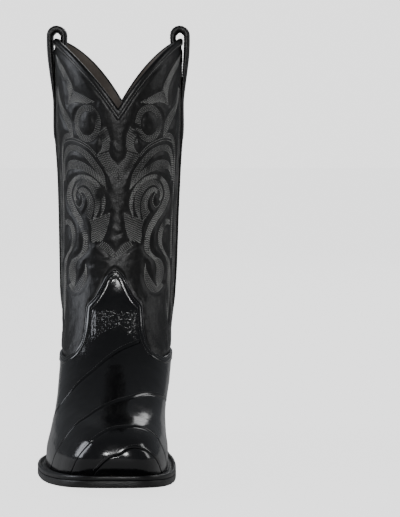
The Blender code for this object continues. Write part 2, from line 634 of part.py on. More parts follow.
def make_finishes():
    table = {
        "vamp_leather": ((0.012, 0.012, 0.014), 0.18),
        "shaft_leather": ((0.02, 0.02, 0.02), 0.42),
        "edge_leather": ((0.015, 0.015, 0.016), 0.35),
        "lining_leather": ((0.09, 0.078, 0.066), 0.6),
        "welt_leather": ((0.018, 0.018, 0.018), 0.45),
        "sole_leather": ((0.03, 0.028, 0.027), 0.5),
        "stacked_leather": ((0.02, 0.018, 0.017), 0.4),
        "insole_leather": ((0.45, 0.31, 0.19), 0.7),
        "sock_leather": ((0.1, 0.085, 0.07), 0.6),
        "rubber": ((0.02, 0.02, 0.02), 0.75),
        "cork": ((0.42, 0.27, 0.15), 0.9),
        "canvas": ((0.6, 0.55, 0.45), 0.9),
        "stiffener": ((0.5, 0.42, 0.32), 0.7),
        "wood": ((0.62, 0.45, 0.25), 0.6),
    }
    for name, (colour, roughness) in table.items():
        FINISHES[name] = material(name, colour, roughness)
    FINISHES["steel"] = material("steel", (0.55, 0.56, 0.58), 0.35, 1.0)
    FINISHES["brass"] = material("brass", (0.7, 0.5, 0.22), 0.3, 1.0)


def main():
    for old in list(bpy.data.objects):
        bpy.data.objects.remove(old)
    make_finishes()
    build_sole()
    build_shank()
    build_heel()
    build_upper()
    build_stiffeners()
    build_side_welts()
    build_bindings()
    build_straps()
    build_fixings()


main()
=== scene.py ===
"""The looks of a black western boot: vamp of glossy sewn strips, quilted shaft, lining, welt and heel.

The CAD frame is loaded first. The leather is drawn on the same curved surface as the CAD solids, the skin:
`theta` runs round the boot in degrees (0 at the toe and the shin, +90 at the inner side seam, 180 at the
heel), `level` climbs from the feather line to the top of the shaft, and `depth` is the distance inside the
skin. Lengths are millimetres about the leg's axis until a mesh is made.
"""

import functools
import math

import bpy
import numpy as np
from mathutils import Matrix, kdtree


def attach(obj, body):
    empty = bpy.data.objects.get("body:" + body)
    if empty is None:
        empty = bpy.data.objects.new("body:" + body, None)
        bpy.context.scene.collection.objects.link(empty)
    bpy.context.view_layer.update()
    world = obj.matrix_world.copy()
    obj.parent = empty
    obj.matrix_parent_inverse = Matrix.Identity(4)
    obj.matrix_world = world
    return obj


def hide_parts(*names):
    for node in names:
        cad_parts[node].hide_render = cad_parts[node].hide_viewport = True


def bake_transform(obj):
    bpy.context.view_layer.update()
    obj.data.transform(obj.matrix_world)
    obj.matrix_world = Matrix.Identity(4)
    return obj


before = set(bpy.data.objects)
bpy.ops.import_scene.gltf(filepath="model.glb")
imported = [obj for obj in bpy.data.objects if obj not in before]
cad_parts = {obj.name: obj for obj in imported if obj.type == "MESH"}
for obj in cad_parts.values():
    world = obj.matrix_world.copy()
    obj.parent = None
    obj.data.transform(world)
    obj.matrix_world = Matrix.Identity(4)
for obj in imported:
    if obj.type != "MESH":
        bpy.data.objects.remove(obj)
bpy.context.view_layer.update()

MM = 0.001
rng = np.random.default_rng(7)

# ---------------------------------------------------------------- the boot's driving dimensions
HEEL_HEIGHT, TOE_SPRING, OUTSOLE, WELT, GAP = 38.5, 7.5, 5.5, 3.2, 0.3
TOE_Y, HEEL_Y, BREAST_Y = -196.0, 86.0, 22.0
BALL_FRONT_Y, BALL_BACK_Y, SHANK_RUN = -115.0, -75.0, 150.0
WELT_MARGIN, HEEL_MARGIN, WELT_INNER = 6.0, 1.8, -7.0
TOP_PEAK, FRONT_DIP, BACK_DIP = 341.0, 283.0, 289.5
FRONT_SCALLOP, BACK_SCALLOP, DIP_TURN = 2.1, 2.7, 2.5
SHIFT_X, SHIFT_Y = 0.3, 55.0
OUTER, MIDDLE, INNER = (0.0, 1.2), (1.85, 3.0), (3.45, 4.45)
EDGE, PANEL_HALF = 88.0, 89.6  # degrees that the foot's and the shaft's leather reach from their middle
STEP, HALVINGS = 0.05, 26  # the step of numerical slopes, and the rounds of each search by halving

LEVELS = (0, 12, 25, 40, 58, 78, 100, 122, 150, 200, 230, 250, 270, 290, 315, 350)
FRONT_Y = (TOE_Y, -200, -197, -184, -158, -125, -92, -68, -56, -54, -55, -56, -57, -58, -59, -59)
FRONT_Z = (15.5, 27, 38.5, 50, 60, 74, 93, 119, 150, 200, 230, 250, 270, 290, 315, 350)
BACK_Y = (HEEL_Y, 90, 92, 91, 88, 84, 79, 76, 74, 76, 77, 78, 79, 79, 79, 79)
BACK_Z = (47.8, 58, 70, 83, 96, 110, 124, 138, 150, 200, 230, 250, 270, 290, 315, 350)
SEAM_Y = (24, 23, 21, 18, 14, 11, 9, 8, 9, 11, 11, 11, 11, 10.5, 10, 10)
SHAFT_HALF = (44, 44, 44.7, 45.6, 46.9, 46, 46.4, 48, 48.9, 50.2, 51.3, 52.5, 53.9, 53.8, 54, 54.4)
FOOT_SHARE = (1, 0.93, 0.8, 0.56, 0.26, 0.07, 0, 0, 0, 0, 0, 0, 0, 0, 0, 0)
SOLE_SHARE = (1, 0.95, 0.86, 0.7, 0.5, 0.28, 0.1, 0, 0, 0, 0, 0, 0, 0, 0, 0)
BULGE = (1, 1, 0.975, 0.96, 0.975, 1, 1, 1, 1, 1, 1, 1, 1, 1, 1, 1)
SWAY = (0, 0, 0, -0.1, -0.4, -0.8, -1.2, -1.2, -0.8, -0.3, 0, 0, 0, 0, 0, 0)
TOE_POWER = (0.55, 0.6, 0.7, 0.86, 1, 1, 1, 1, 1, 1, 1, 1, 1, 1, 1, 1)
HEEL_POWER = (0.74, 0.78, 0.84, 0.93, 1, 1, 1, 1, 1, 1, 1, 1, 1, 1, 1, 1)
FOOT_RUN = (0, 0.1, 0.2, 0.3, 0.41, 0.52, 0.64, 0.72, 0.82, 0.91, 1)
LATERAL_HALF = (48, 45.5, 38.5, 35.5, 38.7, 46, 54.8, 57, 57, 55.5, 54)
MEDIAL_HALF = (48, 45.5, 37, 30.5, 30, 35.5, 42.3, 44.6, 45.5, 45.5, 46)
TOE_SWING = 6.0

TONGUE = ((0, 155.5), (6, 150.5), (10.5, 141), (15, 133), (21.2, 126.5), (22.7, 108), (25, 98), (29.5, 91),
          (38, 85.6), (44.5, 86.5))
SEAM_A = ((-71, 0), (-57, 30), (-45.5, 54.5), (-30, 76.7), (-16.3, 89), (-4, 98), (8, 103.5), (20, 105.5),
          (27, 106))
SEAM_B = ((-41, 0), (-36.5, 17), (-30, 35), (-23.8, 46.8), (-10.5, 61.5), (3.6, 68.3), (16.5, 69.7),
          (28.4, 69), (42.8, 61.6), (60, 44), (74, 18), (80, 0))
SEAM_C = ((-21, 0), (-14.5, 20), (-7.8, 33.7), (0.4, 42), (8.6, 42.8), (16.8, 41), (27.9, 33.2), (35, 18),
          (40, 0))
SEAM_D = ((-6, 0), (-3, 8), (0, 16), (3.2, 20.6), (7.5, 22.2), (12, 21.3), (16.6, 18.8), (20.5, 14.6),
          (24.6, 8.6), (28.5, 0))
COUNTER_PEAK, COUNTER_SIDE, LAP = 112.0, 87.0, 12.0
PANEL_EDGE = ((0, 141), (26, 94), (40, 79), (90, 75))
LINING_JOIN = 96.0
STRAP_HALF, STRAP_OUTER_END, STRAP_INNER_END, STRAP_LIFTS = 12.0, 259.0, 296.0, 292.0
HINGE_Z, HINGE_DEPTH = 342.6, 3.15
LOOP_OUTSIDE, LOOP_HALF, LOOP_RISE = 8.1, 2.35, 1.4  # outer radius and half the doubled band's thickness
HEEL_NAILS = ((-22, 38), (22, 38), (-19, 56), (19, 56), (0, 69))
SHANK_PEGS = ((-24, -22), (22, -22), (-25, -8), (20, -8), (-26, 6), (21, 6))


# ---------------------------------------------------------------- the skin, as in the CAD
@functools.lru_cache(maxsize=None)
def spline_parts(knots, values):
    """Knots, values, spacings and end slopes of a cubic Hermite whose slopes never overshoot."""
    k, y = np.asarray(knots, float), np.asarray(values, float)
    h = np.diff(k)
    slope = np.diff(y) / h
    tangent = np.zeros_like(y)
    same = slope[:-1] * slope[1:] > 0
    weight = (h[:-1] + 2 * h[1:], 2 * h[:-1] + h[1:])
    with np.errstate(divide="ignore", invalid="ignore"):
        mean = (weight[0] + weight[1]) / (weight[1] / slope[:-1] + weight[0] / slope[1:])
    tangent[1:-1] = np.where(same, mean, 0)
    tangent[0], tangent[-1] = slope[0], slope[-1]
    return k, y, h, tangent


def spline(x, knots, values):
    """A smooth curve through the knots."""
    k, y, h, tangent = spline_parts(knots, values)
    x = np.clip(np.asarray(x, float), k[0], k[-1])
    i = np.clip(np.searchsorted(k, x, side="right") - 1, 0, len(h) - 1)
    t = (x - k[i]) / h[i]
    return ((1 + 2 * t) * (1 - t) ** 2 * y[i] + t * (1 - t) ** 2 * h[i] * tangent[i]
            + t * t * (3 - 2 * t) * y[i + 1] + t * t * (t - 1) * h[i] * tangent[i + 1])


def smoothstep(t):
    t = np.clip(t, 0, 1)
    return t * t * (3 - 2 * t)


def sole_z(y):
    """Height of the outsole's underside at y."""
    spring = np.clip((BALL_FRONT_Y - np.asarray(y, float)) / 90, 0, None) ** 1.8
    return HEEL_HEIGHT * smoothstep((y - BALL_BACK_Y) / SHANK_RUN) + TOE_SPRING * spring


def feather_z(y):
    return sole_z(y) + OUTSOLE + WELT + 2 * GAP


def skin_point(theta, level):
    """Points (..., 3) of the outer surface, for theta in degrees and a level."""
    theta, level = np.broadcast_arrays(np.asarray(theta, float), np.asarray(level, float))
    angle = np.radians(theta)
    front, back = spline(level, LEVELS, FRONT_Y), spline(level, LEVELS, BACK_Y)
    seam = spline(level, LEVELS, SEAM_Y)
    c = np.cos(angle)
    y = seam + np.where(c > 0, front - seam, seam - back) * c
    run = np.clip((back - y) / (back - front), 0, 1)
    share = spline(level, LEVELS, FOOT_SHARE)
    foot = np.where(np.sin(angle) < 0, spline(run, FOOT_RUN, LATERAL_HALF),
                    spline(run, FOOT_RUN, MEDIAL_HALF))
    half = share * foot + (1 - share) * spline(level, LEVELS, SHAFT_HALF)
    toe_power, heel_power = spline(level, LEVELS, TOE_POWER), spline(level, LEVELS, HEEL_POWER)
    power = heel_power + (toe_power - heel_power) * smoothstep(run)
    rounding = (2 * np.sqrt(run * (1 - run))) ** power
    x = np.sign(np.sin(angle)) * rounding * half * spline(level, LEVELS, BULGE)
    x = x + TOE_SWING * smoothstep((-y - 90) / 105) * share ** 0.5 + spline(level, LEVELS, SWAY)
    chord = spline(level, LEVELS, BACK_Z) * (1 - run) + spline(level, LEVELS, FRONT_Z) * run
    sole_run = np.clip((HEEL_Y - y) / (HEEL_Y - TOE_Y), 0, 1)
    hollow = feather_z(y) - (feather_z(HEEL_Y) * (1 - sole_run) + feather_z(TOE_Y) * sole_run)
    z = chord + spline(level, LEVELS, SOLE_SHARE) * hollow
    return np.stack([x, y, z], axis=-1)


def skin_frame(theta, level):
    """The skin's point there and its outward unit normal."""
    theta, level = np.asarray(theta, float), np.asarray(level, float)
    across = skin_point(theta + STEP, level) - skin_point(theta - STEP, level)
    up = skin_point(theta, level + STEP) - skin_point(theta, np.clip(level - STEP, 0, None))
    normal = np.cross(across, up)
    normal /= np.linalg.norm(normal, axis=-1, keepdims=True)
    return skin_point(theta, level), normal


def skin(theta, level, depth):
    """Points of the surface that lies `depth` millimetres inside the skin, above the feather line."""
    point, normal = skin_frame(theta, level)
    moved = point - normal * np.asarray(depth, float)[..., None]
    moved[..., 2] = np.maximum(moved[..., 2], feather_z(moved[..., 1]))
    return moved


def halved(short, shape, high):
    """The values between 0 and `high` at which `short` stops being true, by halving."""
    low, high = np.zeros(shape), np.full(shape, float(high))
    for _ in range(HALVINGS):
        middle = (low + high) / 2
        under = short(middle)
        low, high = np.where(under, middle, low), np.where(under, high, middle)
    return (low + high) / 2


def level_at(theta, height):
    """The level at which the skin reaches a height, on the line of constant theta."""
    theta, height = np.broadcast_arrays(np.asarray(theta, float), np.asarray(height, float))
    return halved(lambda level: skin_point(theta, level)[..., 2] < height, theta.shape, LEVELS[-1])


def theta_at(distance, height):
    """The angles on the inner side of the front at which the skin stands that far from the centre line."""
    return halved(lambda theta: skin_point(theta, level_at(theta, height))[:, 0] < distance, len(distance),
                  90)


TONGUE_EDGE = list(zip(theta_at(*np.transpose(TONGUE)), [z for _, z in TONGUE]))


def tongue_z(theta):
    """Height of the vamp's top edge."""
    return np.interp(np.abs(theta), [t for t, _ in TONGUE_EDGE] + [90],
                     [z for _, z in TONGUE_EDGE] + [COUNTER_SIDE])


def panel_edge(theta):
    return np.interp(np.abs(theta), *zip(*PANEL_EDGE))


def counter_z(theta):
    """Height of the counter's top edge."""
    off = np.abs(np.abs(theta) - 180) / 90
    return COUNTER_SIDE + (COUNTER_PEAK - COUNTER_SIDE) * np.clip(1 - off, 0, 1) ** 1.8


def top_z(theta):
    """Height of the shaft's top line."""
    turned = (np.asarray(theta, float) + 180) % 360 - 180
    front = np.abs(turned) <= 90
    off = turned - DIP_TURN
    t = np.where(front, np.abs(off) / (90 - np.sign(off) * DIP_TURN), (180 - np.abs(turned)) / 90)
    dip = np.where(front, FRONT_DIP, BACK_DIP)
    power = np.where(front, FRONT_SCALLOP, BACK_SCALLOP)
    return dip + (TOP_PEAK - dip) * (1 - (1 - t) ** power)


def outline(theta, offset):
    """Plan points of the feather line moved outwards by an offset."""
    theta = np.asarray(theta, float)
    here = skin_point(theta, 0.0)[..., :2]
    along = (skin_point(theta + STEP, 0.0) - skin_point(theta - STEP, 0.0))[..., :2]
    out = np.stack([along[..., 1], -along[..., 0]], axis=-1)
    out /= np.linalg.norm(out, axis=-1, keepdims=True)
    return here + out * np.asarray(offset, float)[..., None]


def sole_margin(theta):
    y = skin_point(theta, 0.0)[..., 1]
    return WELT_MARGIN + (HEEL_MARGIN - WELT_MARGIN) * smoothstep((y + 50) / 80)


def travelled(line):
    """The distance along a line from its first point to each of its points."""
    return np.concatenate([[0], np.cumsum(np.linalg.norm(np.diff(line, axis=0), axis=1))])


# ---------------------------------------------------------------- materials
def wire(tree, out, into):
    tree.links.new(out, into)


def node(tree, kind, **values):
    made = tree.nodes.new(kind)
    for key, value in values.items():
        if key in made.inputs:
            made.inputs[key].default_value = value
        else:
            setattr(made, key, value)
    return made


def tint(colour):
    """An opaque colour from one grey value or from three parts."""
    return (*colour, 1) if isinstance(colour, tuple) else (colour, colour, colour, 1)


def leather(name, colour, lighter, roughness, spread, grain=0.9, pores=0.25, creases=0.3, coat=0.0, sheen=0.0,
            specular=0.5, metallic=0.0, mottle=0.05, stretch=(1, 1, 1)):
    """A procedural leather, thread or rubber. Grain and mottle sizes are millimetres.

    Colour runs from `colour` to `lighter` over cloudy patches and the grain's high spots, roughness varies by
    `spread`, and the bump has the pebble grain, fine creases and pores.
    """
    made = bpy.data.materials.new(name)
    made.use_nodes = True
    tree = made.node_tree
    shader = tree.nodes["Principled BSDF"]
    uniform = {"Metallic": metallic, "Coat Weight": coat, "Coat Roughness": 0.12, "Sheen Weight": sheen,
               "Sheen Roughness": 0.4, "Specular IOR Level": specular}
    for key, value in uniform.items():
        shader.inputs[key].default_value = value
    place = node(tree, "ShaderNodeTexCoord")
    scaled = node(tree, "ShaderNodeMapping", Scale=tuple(s / MM for s in stretch))
    wire(tree, place.outputs["Object"], scaled.inputs["Vector"])
    cloud = node(tree, "ShaderNodeTexNoise", Scale=mottle, Detail=4.0, Roughness=0.6)
    fine = node(tree, "ShaderNodeTexNoise", Scale=0.45 / grain, Detail=5.0, Roughness=0.65)
    cell = node(tree, "ShaderNodeTexVoronoi", feature="SMOOTH_F1", Scale=1 / grain, Smoothness=0.35)
    pore = node(tree, "ShaderNodeTexNoise", Scale=2.2 / grain, Detail=2.0)
    for texture in (cloud, fine, cell, pore):
        wire(tree, scaled.outputs["Vector"], texture.inputs["Vector"])
    blend = node(tree, "ShaderNodeMath", operation="MULTIPLY")
    wire(tree, cloud.outputs["Fac"], blend.inputs[0])
    wire(tree, fine.outputs["Fac"], blend.inputs[1])
    shade = node(tree, "ShaderNodeValToRGB")
    for stop, position, shown in zip(shade.color_ramp.elements, (0.12, 0.42), (colour, lighter)):
        stop.position, stop.color = position, tint(shown)
    wire(tree, blend.outputs[0], shade.inputs["Fac"])
    wire(tree, shade.outputs["Color"], shader.inputs["Base Color"])
    reach = {"From Min": 0.3, "From Max": 0.7, "To Min": roughness - spread, "To Max": roughness + spread}
    rough = node(tree, "ShaderNodeMapRange", **reach)
    wire(tree, fine.outputs["Fac"], rough.inputs["Value"])
    wire(tree, rough.outputs[0], shader.inputs["Roughness"])
    last = None
    for texture, output, depth in ((cell, "Distance", pores), (fine, "Fac", creases),
                                   (pore, "Fac", pores * 0.35)):
        bump = node(tree, "ShaderNodeBump", Strength=min(1.0, depth), Distance=0.35 * MM * grain)
        wire(tree, texture.outputs[output], bump.inputs["Height"])
        if last:
            wire(tree, last.outputs["Normal"], bump.inputs["Normal"])
        last = bump
    wire(tree, last.outputs["Normal"], shader.inputs["Normal"])
    return made


FINISHES = {
    "vamp_leather": leather("polished vamp leather", (0.002, 0.002, 0.0024), (0.005, 0.005, 0.0055), 0.16,
                            0.05, grain=2.6, pores=0.05, creases=0.1, coat=0.2),
    "tongue_leather": leather("pebbled tongue leather", 0.003, 0.008, 0.2, 0.06, grain=1.7, pores=0.9,
                              creases=0.5, coat=0.35),
    "shaft_leather": leather("soft shaft leather", 0.002, (0.009, 0.0088, 0.0085), 0.38, 0.08, grain=0.8,
                             pores=0.4, creases=0.5, specular=0.32),
    "edge_leather": leather("binding leather", 0.002, 0.007, 0.34, 0.07, grain=0.8, pores=0.3, specular=0.35),
    "lining_leather": leather("taupe lining leather", (0.062, 0.05, 0.041), (0.13, 0.108, 0.09), 0.6, 0.08,
                              grain=1.1, pores=0.35, creases=0.5, mottle=0.035, sheen=0.1),
    "welt_leather": leather("black welt leather", 0.003, 0.009, 0.34, 0.07, grain=0.9, specular=0.4),
    "sole_leather": leather("dressed sole edge", 0.004, (0.012, 0.011, 0.011), 0.36, 0.08, grain=1.0,
                            pores=0.3, creases=0.6, specular=0.4, stretch=(1, 1, 2.5)),
    "stacked_leather": leather("stacked heel leather", (0.008, 0.007, 0.007), (0.022, 0.019, 0.017), 0.34,
                               0.08, grain=0.9, creases=0.6, stretch=(1, 1, 5)),
    "insole_leather": leather("insole leather", (0.36, 0.23, 0.13), (0.5, 0.35, 0.21), 0.7, 0.06),
    "sock_leather": leather("sock leather", (0.07, 0.055, 0.043), (0.13, 0.105, 0.085), 0.6, 0.07, grain=1.2),
    "rubber": leather("heel rubber", 0.012, 0.024, 0.75, 0.08, grain=0.7),
    "cork": leather("cork", (0.3, 0.17, 0.08), (0.5, 0.33, 0.19), 0.9, 0.05, grain=2.0, pores=0.8,
                    creases=0.8),
    "canvas": leather("canvas", (0.5, 0.45, 0.35), (0.65, 0.6, 0.5), 0.9, 0.05, grain=0.6, pores=0.8),
    "stiffener": leather("stiffener board", (0.4, 0.32, 0.23), (0.52, 0.44, 0.34), 0.75, 0.06, grain=1.4),
    "wood": leather("lemonwood", (0.5, 0.34, 0.18), (0.66, 0.5, 0.3), 0.6, 0.06, grain=1.0,
                    stretch=(1, 1, 0.2)),
    "steel": leather("spring steel", (0.45, 0.46, 0.48), (0.6, 0.61, 0.63), 0.35, 0.08, metallic=1.0,
                     stretch=(1, 0.1, 1)),
    "brass": leather("brass", (0.55, 0.38, 0.16), (0.75, 0.55, 0.26), 0.32, 0.1, metallic=1.0),
    # The thread of the shaft, side seams, bindings and straps is drawn grey: its lightness is mostly painted
    # highlight, standing in for the bright glints that speckle the dark stitching.
    "thread": leather("thread greyed by painted glints", (0.13, 0.13, 0.126), (0.26, 0.26, 0.25), 0.42, 0.08, grain=0.35,
                      pores=0.5, sheen=0.15, mottle=0.08),
    "dark_thread": leather("waxed black thread", 0.02, 0.05, 0.4, 0.08, grain=0.35, pores=0.5, mottle=0.08),
}


# ---------------------------------------------------------------- meshes
def to_metres(points):
    return (np.asarray(points, float).reshape(-1, 3) + (SHIFT_X, SHIFT_Y, 0)) * MM


def add_mesh(name, points, faces, finish, body="boot", replaced=(), smooth=60.0):
    """A piece from points in millimetres about the leg's axis. A body of None leaves it unparented."""
    mesh = bpy.data.meshes.new(name)
    mesh.from_pydata(to_metres(points).tolist(), [], [tuple(f) for f in faces])
    mesh.validate()
    mesh.materials.append(FINISHES[finish])
    mesh.shade_smooth()
    mesh.set_sharp_from_angle(angle=math.radians(smooth))
    obj = bpy.data.objects.new(name, mesh)
    bpy.context.scene.collection.objects.link(obj)
    if body:
        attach(obj, body)
    if replaced:
        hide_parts(*replaced)
    return obj


def grid_faces(rows, columns, start=0, closed=False):
    """Quads of a rows x columns grid of points; `closed` joins the last column to the first."""
    r = np.arange(rows - 1)[:, None] * columns
    c = np.arange(columns if closed else columns - 1)[None, :]
    n = (c + 1) % columns
    return (start + np.stack([r + c, r + n, r + columns + n, r + columns + c], axis=-1)).reshape(-1, 4)


def sheet(name, theta, level, outer, inner, finish, **rest):
    """A closed leather sheet: an outer and an inner surface over the same grid, joined round the rim."""
    rows, columns = level.shape
    theta = np.broadcast_to(theta, level.shape)
    points = np.concatenate([skin(theta, level, outer).reshape(-1, 3),
                             skin(theta, level, inner).reshape(-1, 3)])
    size = rows * columns
    front = grid_faces(rows, columns)
    back = grid_faces(rows, columns, size)[:, ::-1]
    index = np.arange(size).reshape(rows, columns)
    rim = np.concatenate([index[0], index[1:, -1], index[-1, -2::-1], index[-2:0:-1, 0]])
    after = np.roll(rim, -1)
    skirt = np.stack([after, rim, rim + size, after + size], axis=-1)
    return add_mesh(name, points, np.concatenate([front, back, skirt]).tolist(), finish, **rest)


def ring_sweep(name, rings, finish, **rest):
    """A closed body from cross-sections, each the same number of points, with capped ends."""
    rings = np.asarray(rings, float)
    count, size = rings.shape[:2]
    faces = grid_faces(count, size, closed=True).tolist()
    faces += [list(range(size - 1, -1, -1)), [(count - 1) * size + j for j in range(size)]]
    return add_mesh(name, rings.reshape(-1, 3), faces, finish, **rest)


def noise(points, size, seed=0):
    """A smooth random field over 3-D points, mostly between -1 and 1, from a few crossed waves."""
    pick = np.random.default_rng(seed)
    total = 0
    for _ in range(7):
        direction = pick.normal(size=3)
        direction *= 2 * math.pi / (size * pick.uniform(0.7, 1.5)) / np.linalg.norm(direction)
        total = total + np.sin(points @ direction + pick.uniform(0, 6.28))
    return total / 3.0


# ---------------------------------------------------------------- stitching
MM_PER_DEGREE = 0.93  # on the shaft


def curve(points, step=1.0, scale=MM_PER_DEGREE):
    """A smooth line through a few (angle, height) points: centripetal Catmull-Rom, evenly spaced."""
    through = np.asarray(points, float) * (scale, 1)
    ends = np.concatenate([[2 * through[0] - through[1]], through, [2 * through[-1] - through[-2]]])
    knot = np.concatenate([[0], np.cumsum(np.linalg.norm(np.diff(ends, axis=0), axis=1) ** 0.5)])
    made = []
    for i in range(1, len(ends) - 2):
        t = np.linspace(knot[i], knot[i + 1], 12, endpoint=False)[:, None]
        k = knot[i - 1:i + 3]
        p = ends[i - 1:i + 3]
        a = [((k[j + 1] - t) * p[j] + (t - k[j]) * p[j + 1]) / (k[j + 1] - k[j]) for j in range(3)]
        b = [((k[j + 2] - t) * a[j] + (t - k[j]) * a[j + 1]) / (k[j + 2] - k[j]) for j in range(2)]
        made.append(((k[2] - t) * b[0] + (t - k[1]) * b[1]) / (k[2] - k[1]))
    line = np.concatenate(made + [through[-1:]])
    return resample(line, step) / (scale, 1)


def resample(line, step=None, count=None):
    length = travelled(line)
    count = count or max(3, int(round(length[-1] / step)) + 1)
    at = np.linspace(0, length[-1], count)
    return np.stack([np.interp(at, length, line[:, k]) for k in range(line.shape[1])], axis=-1)


def band(first, second, spacing=1.2):
    """Rows of stitching that fill the space between two edge lines, which may meet at their ends."""
    a, b = curve(first, 0.8) * (MM_PER_DEGREE, 1), curve(second, 0.8) * (MM_PER_DEGREE, 1)
    count = max(len(a), len(b))
    a, b = resample(a, count=count), resample(b, count=count)
    width = np.percentile(np.linalg.norm(a - b, axis=1), 85)
    rows = max(2, int(round(width / spacing)) + 1)
    return [(a + (b - a) * t) / (MM_PER_DEGREE, 1) for t in np.linspace(0, 1, rows)]


def ellipse(centre, radii, turns=24):
    angles = np.linspace(0, 2 * math.pi, turns + 1)
    return [(centre[0] + radii[0] * math.cos(a), centre[1] + radii[1] * math.sin(a)) for a in angles]


# one half of the shaft's stitch pattern: (degrees from the pattern's centre line, height)
RING = (29, 272.5)
SCROLL = [(16, 197), (12, 205), (12, 212), (16, 221), (24, 228), (35, 231), (45, 229), (55, 222), (59, 213),
          (54, 204), (42, 193), (36, 185), (34, 178), (35, 171), (41, 165), (50, 161), (55, 153), (53, 145),
          (46, 140)]
SCROLL_INSIDE = [(16, 197), (15, 204), (15, 211), (18, 218), (25, 225), (35, 228), (44, 226), (50, 219),
                 (51, 213), (45, 204), (36, 195), (31, 187), (29, 178), (30, 170), (36, 165), (42, 161),
                 (45, 155), (44, 148), (46, 140)]
BANDS = (
    # flame beside the scallop, and its tail into the ring
    ([(77, 328), (68, 318), (59, 311), (53, 303), (50, 295), (51, 287)],
     [(77, 328), (68, 324), (58, 317), (51, 310), (46, 303), (44, 298)]),
    ([(51, 287), (45, 289), (38, 289.5), (31, 288)], [(44, 298), (37, 296), (29, 293), (20, 289)]),
    (ellipse(RING, (13.2, 14.6)), ellipse(RING, (9, 10.3))),
    # spike under the ring, and the deep V that it joins
    ([(18, 266), (14, 257), (16, 251), (20, 247)], [(11, 270), (8, 262), (8, 255), (9, 250)]),
    ([(20, 247), (15, 240.5), (9, 235), (4, 230.5), (0, 226)], [(9, 250), (7, 245), (4, 242), (0, 238)]),
    # leaf
    ([(65, 225), (63, 241), (58, 250), (52, 254), (45, 254.5), (36, 252.5), (28, 248), (20, 240), (14, 232),
      (11, 219)],
     [(62, 225), (60, 238), (56, 246), (50, 250), (43, 250.5), (35, 247.5), (27, 241), (19, 232), (14, 225),
      (11, 219)]),
    ([(59, 236), (53, 241), (45, 242.5), (36, 241), (28, 237.5), (20, 232), (14, 225), (11, 219)],
     [(60, 229), (56, 234), (48, 236), (38, 235), (29, 232.5), (21, 228), (15, 223), (11, 219)]),
    (SCROLL, SCROLL_INSIDE),
    # crescent of the scroll, spiralling in to the eye
    ([(22, 196), (18, 203), (17, 211), (19, 218), (25, 224), (33, 227), (41, 225), (46, 220), (48, 214),
      (45, 209)],
     [(24, 194), (22, 203), (22, 211), (25, 217), (30, 221.5), (35, 223), (40, 221.5), (43.5, 218),
      (45, 213.5), (43, 210)]),
    ([(27, 194), (24, 203), (24, 210), (27, 215.5), (32, 219.5), (37, 220.5), (42, 218)],
     [(33, 200), (30, 205), (30, 210), (32, 214), (35, 216.5), (38, 217), (41, 215)]),
    # speckled wing below the scroll
    ([(27, 195), (24.5, 188), (25, 182), (24, 176)], [(7, 201), (8, 194), (10, 186), (14, 178)]),
    ([(14, 178), (9, 176), (4, 172), (0, 168)], [(17, 175), (12, 172), (6, 168), (0, 163.5)]),
    # loop at the side, and the long strand down to the ankle
    ([(63, 192.5), (56, 194), (50, 191.5), (46, 186), (45, 179.5), (47, 173), (53, 167), (59, 161), (62, 152),
      (62, 142), (61.5, 132), (62, 122), (64, 112)],
     [(63, 189), (57, 190), (52.5, 187.5), (50, 181), (50, 175), (53, 170), (59, 165), (66, 158), (69, 148),
      (69, 138), (67.5, 126), (64, 112)]),
    ([(51, 143), (46, 140), (39, 145), (34.5, 150), (31.5, 155), (31, 160)],
     [(56, 141), (48, 136.5), (40, 137), (34, 141), (30, 148), (30.5, 160)]),
    # strand that runs down beside the ring
    ([(71, 302), (66, 292), (59, 284.5), (52, 279), (47, 273), (45.5, 267), (45, 261)],
     [(74, 300), (69, 289), (62, 280), (56, 274), (51, 268), (49, 264.5), (45, 261)]),
    ([(45, 261), (51, 264), (58, 262), (63, 256), (66, 248), (68, 230), (68, 205), (68, 180), (70, 160)],
     [(45, 261), (51, 261), (56, 259.5), (61, 254), (64, 247), (66, 230), (66, 205), (66, 180), (68, 160)]),
)
LINES = (
    [(60, 257.5), (53, 260), (46, 260.5), (39, 259), (32, 256.5), (26, 253), (20, 247)],
    [(61, 255.5), (53, 258), (46, 258.5), (39, 257), (32, 254.5), (26, 251), (20.5, 245.5)],
    [(22, 196), (15, 196), (11, 198), (7, 201)],
    [(44, 220), (39, 216.5), (36, 212), (36.5, 207), (40, 204.5), (44, 206.5), (46.5, 211)],
    [(34, 217), (29.5, 214), (27.5, 210), (28, 205), (30, 201)],
)
SIDE_LINES = ((82, 318, 98), (77, 322, 100), (73, 296, 104))  # angle, top, bottom
CLEAR_BELOW, CLEAR_ABOVE = 3.0, 7.5  # how far the pattern stays from the seam below and from the top line


def pattern_centre(height):
    """The pattern's centre line leans a little to the inner side towards the top."""
    return np.interp(height, [160, 226], [0, 2.3])


def pattern_rows():
    """All rows of one half of the pattern, as arrays of (degrees, height)."""
    rows = []
    for first, second in BANDS:
        rows += band(first, second)
    rows += [curve(line, 0.8) for line in LINES]
    for angle, high, low in SIDE_LINES:
        heights = np.linspace(high, low, int(high - low))
        rows.append(np.stack([angle + 0.8 * np.sin(heights / 19.0), heights], axis=-1))
    return rows


def panel_rows(facing):
    """The pattern on the front (0) or the back (180), both halves, clear of the edges of the panel."""
    made = []
    for row in pattern_rows():
        for side in (-1, 1):
            angle, height = row[:, 0], row[:, 1]
            theta = facing + pattern_centre(height) * (facing == 0) + side * angle
            low = tongue_z(theta) if facing == 0 else counter_z(theta)
            keep = (height > low + CLEAR_BELOW) & (height < top_z(theta) - CLEAR_ABOVE)
            for part in np.split(np.arange(len(keep)), np.flatnonzero(np.diff(keep.astype(int))) + 1):
                if keep[part[0]] and len(part) > 3:
                    made.append(np.stack([theta[part], height[part]], axis=-1))
    return made


STITCH_SECTION = ((-0.5, -0.15), (-0.34, 0.62), (0.0, 1.0), (0.34, 0.62), (0.5, -0.15), (0.0, -0.5))


